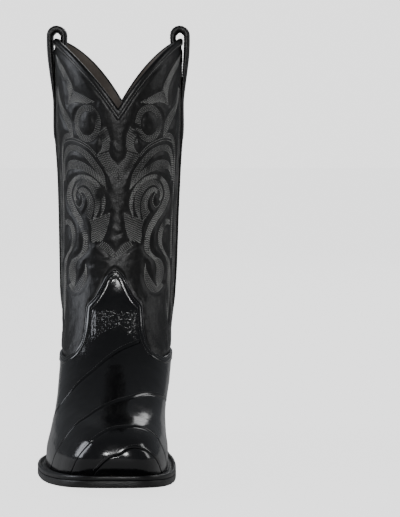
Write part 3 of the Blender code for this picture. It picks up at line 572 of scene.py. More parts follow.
def stitches(name, rows, finish, depth, pitch=1.8, length=1.4, width=0.56, rise=0.3, clear=0.62,
             by_height=True):
    """Small raised threads along rows of (theta, height), lying on the surface at `depth`.

    Where rows run together, only one stitch is kept in each cube of side `clear`. Rows of (theta, level)
    come with `by_height` off.
    """
    centres, ahead = [], []
    for row in rows:
        level = level_at(row[:, 0], row[:, 1]) if by_height else row[:, 1]
        surface = skin(row[:, 0], level, depth + 0 * level)
        run = travelled(surface)
        if run[-1] < pitch:
            continue
        at = np.arange(pitch * rng.uniform(0.3, 0.7), run[-1] - pitch * 0.3, pitch)
        path = np.concatenate([surface, row[:, :1], level[:, None]], axis=1)
        centre, before, after = (np.stack([np.interp(at + off, run, path[:, j]) for j in range(5)], axis=-1)
                                 for off in (0, -length / 2, length / 2))
        centres.append(centre)
        ahead.append((after - before)[:, :3])
    centres, ahead = np.concatenate(centres), np.concatenate(ahead)
    kept, taken = [], set()
    for i, (x, y, z) in enumerate(centres[:, :3]):
        cell = (int(x // clear), int(y // clear), int(z // clear))
        if cell not in taken:
            taken.add(cell)
            kept.append(i)
    centres, ahead = centres[kept], ahead[kept]
    up = skin_frame(centres[:, 3], centres[:, 4])[1]
    ahead /= np.linalg.norm(ahead, axis=1, keepdims=True)
    side = np.cross(up, ahead)
    size = len(STITCH_SECTION)
    stretch = rng.uniform(0.88, 1.08, len(centres))
    lean = rng.normal(0, 0.05, len(centres))
    parts = []
    for along, scale in ((-0.5, 0.0), (-0.34, 0.86), (0.34, 0.86), (0.5, 0.0)):
        for across, high in (STITCH_SECTION if scale else ((0.0, -0.35),)):
            forwards = (along * length * stretch)[:, None]
            sideways = (across * width * (scale or 1) + lean * along * length)[:, None]
            parts.append(centres[:, :3] + (ahead * forwards + side * sideways + up * (high * rise)))
    template = np.stack(parts, axis=1)
    ring = [(1 + j, 1 + (j + 1) % size, 1 + size + (j + 1) % size, 1 + size + j) for j in range(size)]
    tips = [(0, 1 + (j + 1) % size, 1 + j) for j in range(size)]
    last = 1 + 2 * size
    tips += [(last, 1 + size + j, 1 + size + (j + 1) % size) for j in range(size)]
    count = template.shape[1]
    base = np.arange(len(centres))[:, None, None] * count
    quads = (base + np.array(ring)[None]).reshape(-1, 4).tolist()
    triangles = (base + np.array(tips)[None]).reshape(-1, 3).tolist()
    return add_mesh(name, template.reshape(-1, 3), quads + triangles, finish)


# ---------------------------------------------------------------- the shaft
PUFF, PUFF_REACH = 1.05, 2.6  # how high unstitched leather swells, and how far from a row
CREASES = ((-24, 176, -11, 169, 0.5), (-21, 166, -7, 161, 0.6), (-27, 156, -13, 155, 0.5),
           (-25, 147, -15, 146, 0.35), (10, 168, 26, 174, 0.45), (13, 160, 28, 162, 0.35),
           (22, 132, 30, 128, 0.4), (24, 120, 32, 115, 0.4), (23, 110, 33, 104, 0.3), (-9, 190, 8, 187, 0.3),
           (-7, 179, 9, 181, 0.3), (14, 272, 30, 268, 0.4), (16, 265, 30, 262, 0.35), (-6, 258, 5, 250, 0.35))


def crease_height(theta, height):
    """Soft wrinkles: ridges between two points, each with a shallow hollow beside it."""
    total = np.zeros_like(theta)
    s, z = theta * MM_PER_DEGREE, height
    for t0, z0, t1, z1, rise in CREASES:
        a, b = np.array((t0 * MM_PER_DEGREE, z0)), np.array((t1 * MM_PER_DEGREE, z1))
        d = b - a
        length = np.linalg.norm(d)
        along = ((s - a[0]) * d[0] + (z - a[1]) * d[1]) / length / length
        off = ((s - a[0]) * d[1] - (z - a[1]) * d[0]) / length
        fade = smoothstep((along + 0.25) / 0.5) * smoothstep((1.25 - along) / 0.5)
        off = off + 0.8 * np.sin(along * 5 + z0)
        total = total + rise * fade * (np.exp(-(off / 1.7) ** 2) - 0.8 * np.exp(-((off + 3.2) / 2.0) ** 2))
    return total


def tree_of(rows):
    """A search tree over the surface points of the rows."""
    theta = np.concatenate([row[:, 0] for row in rows])
    height = np.concatenate([row[:, 1] for row in rows])
    points = skin_point(theta, level_at(theta, height))
    tree = kdtree.KDTree(len(points))
    for i, point in enumerate(points):
        tree.insert(point, i)
    tree.balance()
    return tree


def distance_to(tree, points):
    return np.array([tree.find(p)[2] for p in points.reshape(-1, 3)]).reshape(points.shape[:-1])


def shaft_panel(name, facing, rows, low, replaced):
    """One half of the shaft, swollen wherever it isn't stitched down."""
    theta = facing + np.linspace(-PANEL_HALF, PANEL_HALF, 185)
    bottom, top = level_at(theta, low(theta)), top_z(theta) - 0.3
    share = np.linspace(0, 1, 200)[:, None]
    level = bottom + (top - bottom) * share
    grid = np.broadcast_to(theta, level.shape)
    point = skin_point(grid, level)
    away = distance_to(tree_of(rows), point)
    height = point[..., 2]
    swell = PUFF * (1 - np.exp(-(np.clip(away - 0.7, 0, None) / PUFF_REACH) ** 2))
    swell += 0.22 * noise(point, 17, 3) + 0.1 * noise(point, 6, 4) * (away > 0.8)
    if facing == 0:
        swell += crease_height(grid, height)
    edge_low = tongue_z(theta) if facing == 0 else counter_z(theta)
    fade = smoothstep((top - level - 5.5) / 5) * smoothstep((height - edge_low - 1.0) / 4)
    fade = fade * smoothstep((PANEL_HALF - np.abs(grid - facing) - 2) / 4)
    outer = MIDDLE[0] - np.clip(swell, -0.3, 1.5) * fade
    return sheet(name, grid, level, outer, outer + (MIDDLE[1] - MIDDLE[0]), "shaft_leather",
                 replaced=replaced)


def build_shaft():
    front, back = panel_rows(0), panel_rows(180)
    shaft_panel("front_panel_leather", 0, front, panel_edge, ["front_panel"])
    shaft_panel("back_panel_leather", 180, back, lambda t: counter_z(t) - LAP, ["back_panel"])
    for name, rows, middle in (("front", front, 0), ("back", back, 180)):
        for word, side in (("outer", -1), ("inner", 1)):
            turned = side if middle == 0 else -side
            part = [row for row in rows if turned * (row[:, 0].mean() - middle) >= 0]
            stitches(f"{name}_stitching_{word}", part, "thread", MIDDLE[0])


# ---------------------------------------------------------------- lines beside an edge
def edge_lines(thetas, levels, offsets):
    """Lines at set distances square off an edge, as (thetas, levels); positive is above it."""
    here = skin_point(thetas, levels)
    across = (skin_point(thetas + STEP, levels) - here) / STEP
    up = (skin_point(thetas, levels + STEP) - here) / STEP
    along = np.gradient(here, axis=0)
    along /= np.linalg.norm(along, axis=1, keepdims=True)
    normal = np.cross(across, up)
    normal /= np.linalg.norm(normal, axis=1, keepdims=True)
    square = np.cross(normal, along)
    wide, tall, skew = np.sum(across * across, 1), np.sum(up * up, 1), np.sum(across * up, 1)
    sideways, upwards = np.sum(square * across, 1), np.sum(square * up, 1)
    determinant = wide * tall - skew ** 2
    turn = (tall * sideways - skew * upwards) / determinant
    rise = (wide * upwards - skew * sideways) / determinant
    return [(thetas + turn * off, np.clip(levels + rise * off, 0, None)) for off in offsets]


def edge_strip(name, thetas, levels, section, finish):
    """A strip swept along an edge. The section is (distance off the edge, depth) pairs."""
    lines = edge_lines(thetas, levels, [off for off, _ in section])
    rings = np.stack([skin(t, l, d + 0 * t) for (t, l), (_, d) in zip(lines, section)], axis=1)
    ring_sweep(name, rings, finish)


def edge_rows(thetas, levels, offsets):
    return [np.stack([t, l], axis=-1) for t, l in edge_lines(thetas, levels, offsets)]


# ---------------------------------------------------------------- the vamp
def smooth_seam(seam, thetas):
    """The seam as a smooth line through its points."""
    line = curve(seam, 0.8, scale=1.0)
    order = np.argsort(line[:, 0])
    return np.interp(thetas, line[order, 0], line[order, 1], left=0, right=0)


def pebbled_share(theta, height):
    """Where the vamp is pebbled: across the bend at the tongue's base."""
    arc = 101.5 + 5.5 * np.cos(np.radians(theta * 6.0))
    upright = smoothstep((height - arc) / 5) * smoothstep((125.5 - height) / 6)
    return upright * smoothstep((25 - np.abs(theta)) / 7)


def vamp_strip(name, low, high, thetas, node_name, open_top):
    """One strip of the vamp between two seams: cushioned, with its edges turned down into the seams.

    The tongue's strip is open at the top: that edge lies under the trim, and the strip is partly pebbled.
    """
    count = int(max(8, np.max(high - low) / 0.9))
    even = np.linspace(0, 1, count)
    share = (0.6 * even + 0.4 * (1 - np.cos(np.pi * even)) / 2)[:, None]
    level = low + (high - low) * share
    grid = np.broadcast_to(thetas, level.shape)
    point = skin_point(grid, level)
    edge_low = np.where(low > 0.01, (level - low), 99)
    edge_high = np.where(open_top, 99, high - level)
    near = np.minimum(edge_low, edge_high)
    turned = 0.85 * np.exp(-(near / 0.55) ** 2) + 0.12 * np.exp(-(near / 1.6) ** 2)
    swell = 0.1 * noise(point, 34, 11) + 0.035 * noise(point, 11, 12)
    if open_top:
        height = point[..., 2]
        pebbled = pebbled_share(grid, height)
        swell += 0.3 * pebbled * noise(point, 2.6, 5)
        ridge = np.exp(-((np.abs(grid) - 16) / 3.0) ** 2) * smoothstep((height - 105) / 4)
        swell += 0.9 * ridge * smoothstep((125 - height) / 5)
    flat = smoothstep(level / 3.0)
    outer = OUTER[0] + 0.12 + turned - swell * flat * (near > 0.3)
    inner = np.maximum(outer + 0.25, OUTER[1] + GAP)
    strip = sheet(name, grid, level, outer, inner, "vamp_leather", replaced=[node_name])
    if open_top:
        strip.data.materials.append(FINISHES["tongue_leather"])
        patchy = pebbled * (1 + 0.9 * noise(point, 4.0, 8))
        rough = (patchy[:-1, :-1] > 0.4).reshape(-1)
        index = np.zeros(len(strip.data.polygons), np.int32)
        index[:len(rough)] = rough
        strip.data.polygons.foreach_set("material_index", index)


def build_vamp():
    thetas = np.linspace(-EDGE, EDGE, 340)
    top = level_at(thetas, tongue_z(thetas))
    past = thetas - SEAM_A[-1][0]  # past its last point the seam runs on under the trim to the vamp's edge
    over = np.where(past > 0, SEAM_A[-1][1] + 0.5 * past, smooth_seam(SEAM_A, thetas))
    seams = [smooth_seam(s, thetas) for s in (SEAM_D, SEAM_C, SEAM_B)] + [np.minimum(over, top), top]
    sewn = (("vamp_toe", SEAM_D), ("vamp_strip_low", SEAM_C), ("vamp_strip_middle", SEAM_B),
            ("vamp_strip_high", SEAM_A), ("vamp_tongue", None))
    below = 0 * thetas
    for (name, seam), high in zip(sewn, seams):
        open_here = np.flatnonzero(high - below > 0.4)
        used = slice(max(open_here[0] - 1, 0), open_here[-1] + 2)
        vamp_strip(name + "_leather", below[used], np.maximum(high, below + 0.02)[used], thetas[used], name,
                   open_top=seam is None)
        if seam:
            line = curve(seam, 0.8, scale=1.0)
            line = line[line[:, 1] > 2]
            rows = edge_rows(line[:, 0], line[:, 1], [2.4])
            stitches(name + "_seam_stitching", rows, "dark_thread", 0.1, pitch=1.9, length=1.3, width=0.42,
                     rise=0.2, clear=0.3, by_height=False)
        below = high


def vamp_top_edge():
    """The vamp's top edge from side to side, evenly spaced, with round corners."""
    outer_side = [(-t, z) for t, z in TONGUE_EDGE[:0:-1]]
    points = [(-EDGE, COUNTER_SIDE)] + outer_side + TONGUE_EDGE + [(EDGE, COUNTER_SIDE)]
    line = resample(np.asarray(points, float) * (MM_PER_DEGREE, 1), 0.8)
    reach = 3  # points on either side that round a corner off
    soft = np.ones(2 * reach + 1) / (2 * reach + 1)
    padded = np.pad(line, ((reach, reach), (0, 0)), mode="edge")
    line = np.stack([np.convolve(padded[:, k], soft, mode="valid") for k in (0, 1)], axis=-1)
    thetas = line[:, 0] / MM_PER_DEGREE
    return thetas, level_at(thetas, line[:, 1])


# (distance above the edge, depth)
TRIM_SECTION = ((0.5, 1.6), (0.5, 0.3), (0.1, -0.35), (-0.8, -0.55), (-1.6, -0.2), (-2.4, -0.5),
                (-3.4, -0.62), (-4.4, -0.5), (-5.2, -0.2), (-5.9, 0.35), (-6.1, 0.9), (-3.0, 1.2))


def build_trims():
    """The bead along the vamp's top edge and along the counter's, each with two rows of stitching."""
    round_heel = np.linspace(180 - EDGE, 180 + EDGE, 240)
    edges = (("vamp", vamp_top_edge()),
             ("counter", (round_heel, level_at(round_heel, counter_z(round_heel)))))
    for name, (thetas, levels) in edges:
        edge_strip(f"{name}_edge_trim", thetas, levels, TRIM_SECTION, "vamp_leather")
        rows = edge_rows(thetas, levels, [-1.65, -4.9])
        stitches(f"{name}_edge_stitching", rows, "dark_thread", -0.35, pitch=1.9, length=1.35, width=0.5,
                 rise=0.3, clear=0.3, by_height=False)


def build_counter():
    thetas = np.linspace(180 - EDGE, 180 + EDGE, 230)
    high = level_at(thetas, counter_z(thetas))
    level = high * np.linspace(0, 1, 90)[:, None]
    grid = np.broadcast_to(thetas, level.shape)
    point = skin_point(grid, level)
    swell = (0.1 * noise(point, 30, 21) + 0.03 * noise(point, 10, 22)) * smoothstep(level / 3)
    outer = OUTER[0] + 0.12 - swell
    sheet("counter_leather", grid, level, outer, 0 * outer + OUTER[1] + GAP, "vamp_leather",
          replaced=["counter"])


# ---------------------------------------------------------------- piping, bindings and linings
def build_piping():
    """The rolled cord in each side seam, with a row of stitches on either side of it."""
    for name, middle in (("outer", -90.0), ("inner", 90.0)):
        levels = np.linspace(0.0, STRAP_OUTER_END + 6, 260)[:, None]
        a = np.linspace(0, 2 * math.pi, 12, endpoint=False)
        depth = 0.75 - 0.95 * np.sin(a) * (1 + 0.05 * np.sin(levels * 1.9))
        rings = skin(middle + 1.7 * np.cos(a) + 0 * levels, levels + 0 * a, depth)
        ring_sweep(f"side_piping_{name}", rings, "edge_leather", replaced=[f"side_welt_{name}"])
        rows = []
        for off in (-4.6, 4.6):
            heights = np.linspace(112, STRAP_OUTER_END + 4, 150)
            rows.append(np.stack([middle + off + 0 * heights, heights], axis=-1))
        stitches(f"side_seam_stitching_{name}", rows, "thread", MIDDLE[0] - 0.1, pitch=2.1, length=1.6,
                 width=0.5)


BINDING_SECTION = ((-5.0, 1.95), (-5.1, 1.35), (-4.7, 1.0), (-4.0, 0.85), (-3.4, 1.1), (-2.9, 0.85),
                   (-1.6, 0.8), (-0.6, 0.95), (0.15, 1.4), (0.6, 2.1), (0.75, 2.9), (0.55, 3.8), (0.1, 4.5),
                   (-0.5, 4.85), (-1.1, 4.8), (-1.2, 4.5), (-0.2, 4.4), (0.0, 3.4), (-0.05, 1.95))


def top_edge(facing):
    """The top edge of one half, with a point exactly in its dip."""
    dip = DIP_TURN if facing == 0 else 0.0
    thetas = facing + np.r_[np.linspace(-PANEL_HALF, dip, 170), np.linspace(dip, PANEL_HALF, 170)[1:]]
    return thetas, top_z(thetas)


def mitred(thetas, levels, section):
    """Rings of an edge strip, kept from crossing where the edge turns sharply in."""
    width = np.linalg.norm(skin_point(thetas + STEP, levels) - skin_point(thetas - STEP, levels),
                           axis=1) / STEP / 2
    run, climb = np.diff(thetas) * (width[1:] + width[:-1]) / 2, np.diff(levels)
    length = np.hypot(run, climb)
    across, up = -climb / length, run / length
    before, after = np.r_[across[0], across], np.r_[across, across[-1]]
    before_up, after_up = np.r_[up[0], up], np.r_[up, up[-1]]
    mitre = 1 + before * after + before_up * after_up
    turn, rise = (before + after) / mitre / width, (before_up + after_up) / mitre
    lines = []
    for off, depth in section:
        t, l = thetas + turn * off, levels + rise * off
        lines.append(skin(t, l, depth + 0 * t))
    return np.stack(lines, axis=1), turn, rise


def build_bindings():
    for name, facing in (("front", 0), ("back", 180)):
        thetas, levels = top_edge(facing)
        rings, turn, rise = mitred(thetas, levels, BINDING_SECTION)
        ring_sweep(f"{name}_binding_leather", rings, "edge_leather", replaced=[f"{name}_binding"])
        row = np.stack([thetas - 3.4 * turn, levels - 3.4 * rise], axis=-1)  # in the section's second groove
        stitches(f"{name}_binding_stitching", [row], "thread", 0.85, pitch=2.2, length=1.6, width=0.5,
                 clear=0.3, by_height=False)


def build_linings():
    for name, facing in (("front", 0), ("back", 180)):
        theta = facing + np.linspace(-PANEL_HALF, PANEL_HALF, 120)
        bottom, top = LINING_JOIN + 0.5 + 0 * theta, top_z(theta) - 0.2
        level = bottom + (top - bottom) * np.linspace(0, 1, 110)[:, None]
        grid = np.broadcast_to(theta, level.shape)
        point = skin_point(grid, level)
        ripple = 0.3 * noise(point, 26, 31) + 0.16 * noise(point * (1, 1, 0.4), 8, 32)
        ripple = np.clip(ripple, -0.3, 0.5) * smoothstep((top - level) / 6)
        sheet(f"{name}_lining_leather", grid, level, INNER[0] + 0 * ripple, INNER[1] + ripple * 0.8,
              "lining_leather", replaced=[f"{name}_lining"])


# ---------------------------------------------------------------- pull straps
def strap_centre_line():
    """The band's middle line as (depth, height), from the outer sewn end over the loop to the inner one."""
    surface_out, surface_in = MIDDLE[0] - GAP, INNER[1] + GAP
    radius = LOOP_OUTSIDE - LOOP_HALF
    line = [(surface_out - 1.0, STRAP_OUTER_END), (surface_out - 1.0, STRAP_LIFTS - 4),
            (surface_out - 1.1, STRAP_LIFTS), (HINGE_DEPTH - radius + 1.2, STRAP_LIFTS + 24),
            (HINGE_DEPTH - radius + 0.2, STRAP_LIFTS + 38), (HINGE_DEPTH - radius, HINGE_Z)]
    for i in range(1, 12):
        a = math.pi * i / 12
        line.append((HINGE_DEPTH - radius * math.cos(a), HINGE_Z + LOOP_RISE + radius * math.sin(a)))
    line += [(HINGE_DEPTH + radius, HINGE_Z), (surface_in + 3.4, STRAP_INNER_END + 36),
             (surface_in + 1.9, STRAP_INNER_END + 24), (surface_in + 1.0, STRAP_INNER_END + 12),
             (surface_in + 1.0, STRAP_INNER_END)]
    return curve(line, 1.0, scale=1.0)


STRAP_ROW, STRAP_GROOVE = 8.6, 0.22  # the stitch rows' distance from the band's middle, and their groove
STRAP_THIN, STRAP_END = 0.95, 1.1  # half the band's thickness at its outer and its inner end
LOOP_PADDING = 1.3  # added on the loop's inner face
SIDE_RADIUS, SIDE_TOP = 69.5, 338.0  # the shaft's roundness at the side; higher up the band is straight


def strap_point(side, across, depth, height):
    """A point of the band: `across` from its middle line, at a depth inside the skin and a height."""
    angle = side * 90 - side * np.degrees(np.arcsin(across / SIDE_RADIUS)) + 0 * depth
    spot = skin(angle, np.minimum(height, SIDE_TOP), depth)
    return np.concatenate([spot[..., :2], height[..., None]], axis=-1)


def build_straps():
    line = strap_centre_line()
    tangent = np.gradient(line, axis=0)
    tangent /= np.linalg.norm(tangent, axis=1, keepdims=True)
    square = np.stack([tangent[:, 1], -tangent[:, 0]], axis=-1)
    run = travelled(line)
    half_thick = STRAP_THIN + (LOOP_HALF - STRAP_THIN) * smoothstep((line[:, 1] - STRAP_LIFTS + 8) / 46)
    half_thick = np.where(run > run[-1] - 14, np.minimum(half_thick, STRAP_END), half_thick)
    section = []
    for i in range(28):
        a = 2 * math.pi * i / 28
        section.append((math.copysign(abs(math.cos(a)) ** 0.32, math.cos(a)),
                        math.copysign(abs(math.sin(a)) ** 0.75, math.sin(a))))
    for side, name, body in ((-1, "outer_side", "outer_strap"), (1, "inner_side", "inner_strap")):
        across, out = np.array(section).T
        groove = STRAP_GROOVE * np.exp(-((np.abs(across * STRAP_HALF) - STRAP_ROW) / 0.8) ** 2)
        arch = np.where(out > 0, LOOP_PADDING, 0) * smoothstep((line[:, 1:] - HINGE_Z) / 4)
        reach = out * (half_thick[:, None] + arch - groove)
        rings = strap_point(side, across * STRAP_HALF, line[:, :1] + square[:, :1] * reach,
                            line[:, 1:] + square[:, 1:] * reach)
        strap = ring_sweep(f"pull_strap_{name}", rings, "shaft_leather", body=None,
                           replaced=[f"strap_{name}_{part}" for part in ("sewn_out", "sewn_in", "loop")])
        threads = strap_stitches(f"pull_strap_{name}_stitching", side, line, square, run, half_thick)
        for piece in (strap, threads):
            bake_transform(piece)


THREAD = ((-0.85, 0, -0.1), (-0.6, 0.26, 0.05), (-0.6, -0.26, 0.05), (-0.6, 0, 0.28),
          (0.6, 0.26, 0.05), (0.6, -0.26, 0.05), (0.6, 0, 0.28), (0.85, 0, -0.1))  # along, across, up
THREAD_FACES = ((0, 1, 3), (0, 3, 2), (0, 2, 1), (1, 4, 6, 3), (3, 6, 5, 2), (2, 5, 4, 1), (7, 6, 4),
                (7, 5, 6), (7, 4, 5))


def thread_faces(count):
    """The faces of so many threads, whose points come one thread after another."""
    bases = np.arange(count) * len(THREAD)
    return [[base + i for i in face] for base in bases.tolist() for face in THREAD_FACES]


def strap_stitches(name, side, line, square, run, half_thick):
    """Two rows of thread on each face of the band."""
    along, wide, high = np.array(THREAD).T
    places = np.arange(2.0, run[-1] - 1.5, 2.2)
    points = []
    for face in (-1, 1):
        for row in (-STRAP_ROW, STRAP_ROW):
            at = places[:, None] + along
            reach = face * (np.interp(at, run, half_thick) - STRAP_GROOVE + high)
            depth = np.interp(at, run, line[:, 0]) + np.interp(at, run, square[:, 0]) * reach
            height = np.interp(at, run, line[:, 1]) + np.interp(at, run, square[:, 1]) * reach
            points.append(strap_point(side, row + wide + 0 * at, depth, height).reshape(-1, 3))
    points = np.concatenate(points)
    return add_mesh(name, points, thread_faces(len(points) // len(THREAD)), "thread", body=None)


# ---------------------------------------------------------------- sole and heel
def round_the_sole(count=420):
    """Angles all the way round, evenly spaced along the feather line."""
    fine = np.linspace(0, 360, 4001)
    plan = outline(fine, sole_margin(fine))
    run = travelled(plan)
    return np.interp(np.linspace(0, run[-1], count, endpoint=False), run, fine)


def sole_ring(name, section, finish, thetas, replaced):
    """A band of the sole. The section is (share of the margin, extra offset, height above the underside)."""
    rings = []
    for share, extra, height in section:
        plan = outline(thetas, share * sole_margin(thetas) + extra)
        z = sole_z(plan[:, 1]) + height
        rings.append(np.concatenate([plan, z[:, None]], axis=1))
    ring_sweep(name, np.stack(rings, axis=1), finish, replaced=replaced)


WELT_LOW = OUTSOLE + GAP
WELT_TOP = WELT_LOW + WELT
WELT_PITCH, WELT_ROW, BREAST_ANGLE = 3.2, 0.42, 92.0  # the row's share of the margin; where the welt ends
WELT_SECTION = ((0, WELT_INNER, WELT_TOP), (0, 0.25, WELT_TOP - 0.2), (0, 0.6, WELT_TOP - 1.3),
                (0, 1.6, WELT_TOP - 1.6), (1, -3.0, WELT_TOP - 1.5), (1, -2.5, WELT_TOP - 0.6),
                (1, -2.0, WELT_TOP + 0.15), (1, -1.1, WELT_TOP + 0.3), (1, -0.35, WELT_TOP - 0.1),
                (1, -0.05, WELT_TOP - 0.9), (1, 0.0, WELT_LOW + 0.7), (1, -0.25, WELT_LOW + 0.1),
                (1, -0.6, WELT_LOW - 0.05), (0, WELT_INNER, WELT_LOW))
RAND_SECTION = ((0, WELT_INNER, WELT_TOP), (0, 0.1, WELT_TOP - 0.1), (0, 0.4, WELT_TOP - 0.5),
                (1, -0.6, WELT_TOP - 0.35), (1, -0.1, WELT_TOP - 0.8), (1, 0.0, WELT_LOW + 0.7),
                (1, -0.25, WELT_LOW + 0.1), (1, -0.6, WELT_LOW - 0.05), (0, WELT_INNER, WELT_LOW))


def build_welt():
    around = round_the_sole()
    signed = (around + 180) % 360 - 180
    front = np.sort(signed[np.abs(signed) < BREAST_ANGLE - 0.5])
    front = np.r_[-BREAST_ANGLE, front, BREAST_ANGLE]
    sole_ring("welt_strip", WELT_SECTION, "welt_leather", front, ["welt"])
    first, last = BREAST_ANGLE + 1, 359 - BREAST_ANGLE
    seat = np.r_[first, np.sort(around[(around > first) & (around < last)]), last]
    sole_ring("heel_rand_strip", RAND_SECTION, "welt_leather", seat, ["heel_rand"])
    # the welt's stitches lie in its trough
    plan = outline(front, WELT_ROW * sole_margin(front))
    run = travelled(plan)
    along, wide, high = np.array(THREAD).T
    theta = np.interp(np.arange(2.0, run[-1] - 2.0, WELT_PITCH)[:, None] + 1.6 * along, run, front)
    spot = outline(theta, WELT_ROW * sole_margin(theta) + 1.7 * wide)
    z = sole_z(spot[..., 1]) + WELT_TOP - 1.5 + 1.8 * high
    points = np.concatenate([spot, z[..., None]], axis=-1).reshape(-1, 3)
    add_mesh("welt_stitching", points, thread_faces(len(points) // len(THREAD)), "dark_thread")


# (distance outside the sole's edge, height above its underside)
OUTSOLE_EDGE = ((-0.5, OUTSOLE), (-0.1, OUTSOLE - 0.3), (0.0, OUTSOLE - 1.0), (0.05, OUTSOLE / 2), (0.0, 1.1),
                (-0.25, 0.35), (-0.8, 0.0), (-3.0, 0.0))
ROUGHNESS, ROUGH_TO = 0.22, 1.5  # of the edge's lowest part, up to a height
SPINE_X = 2.5  # towards which the rows of the top and the underside close in


def build_outsole():
    """The outsole: its underside follows the sole's profile; the edge is dressed but a little rough below."""
    thetas = round_the_sole()
    rings = []
    for off, height in OUTSOLE_EDGE:
        plan = outline(thetas, sole_margin(thetas) + off)
        rough = ROUGHNESS * rng.normal(size=len(thetas)) if 0 < height < ROUGH_TO else 0
        z = sole_z(plan[:, 1]) + height + np.clip(rough, -0.3, 0.5)
        rings.append(np.concatenate([plan, z[:, None]], axis=1))
    caps = []
    for source, height in ((rings[0], OUTSOLE), (rings[-1], 0.0)):
        inwards = []
        for share in (0.75, 0.5, 0.25, 0.02):
            x = SPINE_X + (source[:, 0] - SPINE_X) * share
            inwards.append(np.stack([x, source[:, 1], sole_z(source[:, 1]) + height], axis=-1))
        caps.append(inwards)
    stack = caps[0][::-1] + rings + caps[1]
    count = len(thetas)
    faces = grid_faces(len(stack), count, closed=True).tolist()
    for start in (0, (len(stack) - 1) * count):  # the slits along the spine
        for j in range(count // 2):
            corners = (j, (j + 1) % count, (count - j - 1) % count, (count - j) % count)
            unique = [start + corner for corner in dict.fromkeys(corners)]
            if len(unique) > 2:
                faces.append(unique if start else unique[::-1])
    add_mesh("outsole_leather", np.concatenate(stack), faces, "sole_leather", replaced=["outsole"], smooth=50)
    for i, (x, y) in enumerate(SHANK_PEGS):
        dome(f"shank_peg_head_{i + 1}", x, y, float(sole_z(y)), 1.2, "wood", [f"shank_peg_{i + 1}"])


def dome(name, x, y, low, radius, finish, replaced):
    """The end of a nail or peg, slightly proud of the surface below it, with its shank above."""
    rings = []
    for z, r in ((low + 3.5, radius), (low + 0.4, radius), (low - 0.05, radius * 0.9),
                 (low - 0.25, radius * 0.5), (low - 0.3, radius * 0.1)):
        rings.append([(x + r * math.cos(a), y + r * math.sin(a), z)
                      for a in (2 * math.pi * i / 16 for i in range(16))])
    ring_sweep(name, rings, finish, replaced=replaced)


def heel_outline(height, inset):
    """The heel's plan at a height: the seat's outline, drawn in lower down and cut flat at the breast."""
    drop = 1 - height / HEEL_HEIGHT
    thetas = np.linspace(97, 263, 121)
    points = outline(thetas, sole_margin(thetas) - 2.6 * drop - inset)
    points[:, 1] -= 6.0 * drop * np.clip((points[:, 1] - BREAST_Y) / (HEEL_Y - BREAST_Y), 0, 1)
    front = BREAST_Y + 1.5 * drop + inset
    points = points[points[:, 1] > front - 8]
    points[:, 1] = np.maximum(points[:, 1], front)
    left, right = points[0], points[-1]
    flat = np.stack([np.linspace(right[0], left[0], 12)[1:-1], np.full(10, front)], axis=-1)
    plan = np.concatenate([points, flat])
    return resample(np.concatenate([plan, plan[:1]]), count=161)[:-1]


def heel_layer(name, low, high, finish, replaced):
    """One layer of the heel, with softened edges. `high` may follow the sole above it."""
    rings = []
    wedge = callable(high)
    for inset, share in ((1.2, 0.0), (0.28, 0.0), (0.0, 0.1), (0.0, 0.5), (0.0, 0.9), (0.25, 1.0),
                         (1.2, 1.0)):
        at = low + ((HEEL_HEIGHT if wedge else high) - low) * share
        plan = heel_outline(min(at, HEEL_HEIGHT), inset)
        top = high(plan[:, 1]) if wedge else high
        z = low + (top - low) * share + 0 * plan[:, 0]
        wave = 0.06 * np.sin(plan[:, 0] * 0.7 + low) + 0.05 * np.sin(plan[:, 1] * 1.1 + 2 * low)
        centre = plan.mean(axis=0)
        plan = centre + (plan - centre) * (1 + wave[:, None] / 40)
        rings.append(np.concatenate([plan, z[:, None]], axis=1))
    for end in (0, -1):
        ring = rings[end]
        centre = ring.mean(axis=0)
        inner = centre + (ring - centre) * (0.02, 0.02, 1)
        if wedge and end:
            inner[:, 2] = high(inner[:, 1])
        rings = [inner] + rings if end == 0 else rings + [inner]
    ring_sweep(name, rings, finish, replaced=replaced, smooth=50)


HEEL_CAP, HEEL_LAYER, HEEL_LAYERS, LAYER_GAP = 6.0, 6.3, 3, 0.06


def build_heel():
    heel_layer("heel_top_piece", 0.0, HEEL_CAP, "rubber", ["heel_cap"])
    base = HEEL_CAP + LAYER_GAP
    for i in range(1, HEEL_LAYERS + 1):
        heel_layer(f"heel_layer_{i}", base, base + HEEL_LAYER - LAYER_GAP, "stacked_leather",
                   [f"heel_lift_{i}"])
        base += HEEL_LAYER
    heel_layer("heel_seat_wedge", base, lambda y: sole_z(y) - LAYER_GAP, "stacked_leather", ["heel_wedge"])
    for i, (x, y) in enumerate(HEEL_NAILS):
        dome(f"heel_nail_head_{i + 1}", x, y, 0.32, 1.3, "brass", [f"heel_nail_{i + 1}"])


# ---------------------------------------------------------------- stage, lights, camera
def seen_or_not(tree):
    """1 for what the camera sees directly, 0 for mirrored and bounced light."""
    return node(tree, "ShaderNodeLightPath").outputs["Is Camera Ray"]


def build_floor():
    size = 6.0
    corners = [(-size, -size, 0), (size, -size, 0), (size, size, 0), (-size, size, 0)]
    mesh = bpy.data.meshes.new("floor")
    mesh.from_pydata(corners, [], [(0, 1, 2, 3)])
    floor = bpy.data.objects.new("floor", mesh)
    bpy.context.scene.collection.objects.link(floor)
    pale = bpy.data.materials.new("pale floor")
    pale.use_nodes = True
    tree = pale.node_tree
    shader = tree.nodes["Principled BSDF"]
    for key, value in (("Base Color", tint(0.3)), ("Roughness", 0.8), ("Emission Color", tint(1.0))):
        shader.inputs[key].default_value = value
    glow = node(tree, "ShaderNodeMapRange", **{"To Min": 0.12, "To Max": 1.95})
    wire(tree, seen_or_not(tree), glow.inputs["Value"])
    wire(tree, glow.outputs[0], shader.inputs["Emission Strength"])
    mesh.materials.append(pale)


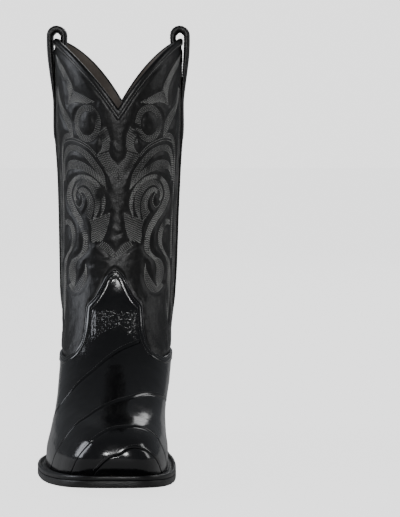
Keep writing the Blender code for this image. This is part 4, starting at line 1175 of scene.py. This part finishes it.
def build_world():
    """Pale behind the boot, but dim as a light, so that the leather stays black."""
    world = bpy.data.worlds.new("studio")
    world.use_nodes = True
    bpy.context.scene.world = world
    tree = world.node_tree
    seen = tree.nodes["Background"]
    seen.inputs["Strength"].default_value = 2.1
    seen.inputs["Color"].default_value = tint(1.0)
    fill = node(tree, "ShaderNodeBackground", Color=(0.9, 0.94, 1, 1), Strength=0.16)
    either = node(tree, "ShaderNodeMixShader")
    wire(tree, seen_or_not(tree), either.inputs["Fac"])
    wire(tree, fill.outputs[0], either.inputs[1])
    wire(tree, seen.outputs[0], either.inputs[2])
    wire(tree, either.outputs[0], tree.nodes["World Output"].inputs["Surface"])


def softbox(name, place, target, width, height, power, colour=(1, 1, 1)):
    lamp = bpy.data.lights.new(name, "AREA")
    lamp.shape, lamp.size, lamp.size_y = "RECTANGLE", width, height
    lamp.energy, lamp.color = power, colour
    obj = bpy.data.objects.new(name, lamp)
    bpy.context.scene.collection.objects.link(obj)
    obj.location = place
    aim = np.subtract(target, place)
    tilt, turn = math.atan2(math.hypot(aim[0], aim[1]), -aim[2]), math.atan2(aim[1], aim[0]) - math.pi / 2
    obj.rotation_euler = (tilt, 0, turn)


def build_lights():
    foot, shaft = (0.0, -0.08, 0.05), (0.0, 0.0, 0.22)
    softbox("key", (0.25, -2.2, 0.9), shaft, 0.5, 0.5, 14)
    softbox("toe_left", (-0.3, -1.9, 0.6), foot, 0.12, 0.2, 5)
    softbox("toe_right", (0.3, -1.9, 0.6), foot, 0.14, 0.2, 6)
    softbox("side_left", (-1.5, 0.1, 0.7), foot, 0.7, 1.0, 13, (0.9, 0.93, 1.0))
    softbox("side_right", (1.6, 0.2, 0.6), shaft, 0.3, 0.9, 4)
    softbox("back", (0.3, 1.7, 1.0), shaft, 1.0, 0.6, 5)


def build_camera():
    lens = bpy.data.cameras.new("camera")
    lens.lens, lens.sensor_width = 138.85, 36.0
    camera = bpy.data.objects.new("camera", lens)
    bpy.context.scene.collection.objects.link(camera)
    camera.location = (0.0678, -1.595, 0.300)
    camera.rotation_euler = (math.radians(90 - 4.86), 0, 0)
    bpy.context.scene.camera = camera


def dress_cad_nodes():
    """The hidden and carried-over CAD solids get the same procedural materials."""
    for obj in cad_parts.values():
        for held in obj.material_slots:
            key = (held.material.name if held.material else "").split(".")[0]
            held.material = FINISHES.get(key, FINISHES["stiffener"])


build_camera()
dress_cad_nodes()
build_shaft()
build_vamp()
build_trims()
build_counter()
build_piping()
build_bindings()
build_linings()
build_straps()
build_welt()
build_outsole()
build_heel()
build_floor()
build_world()
build_lights()
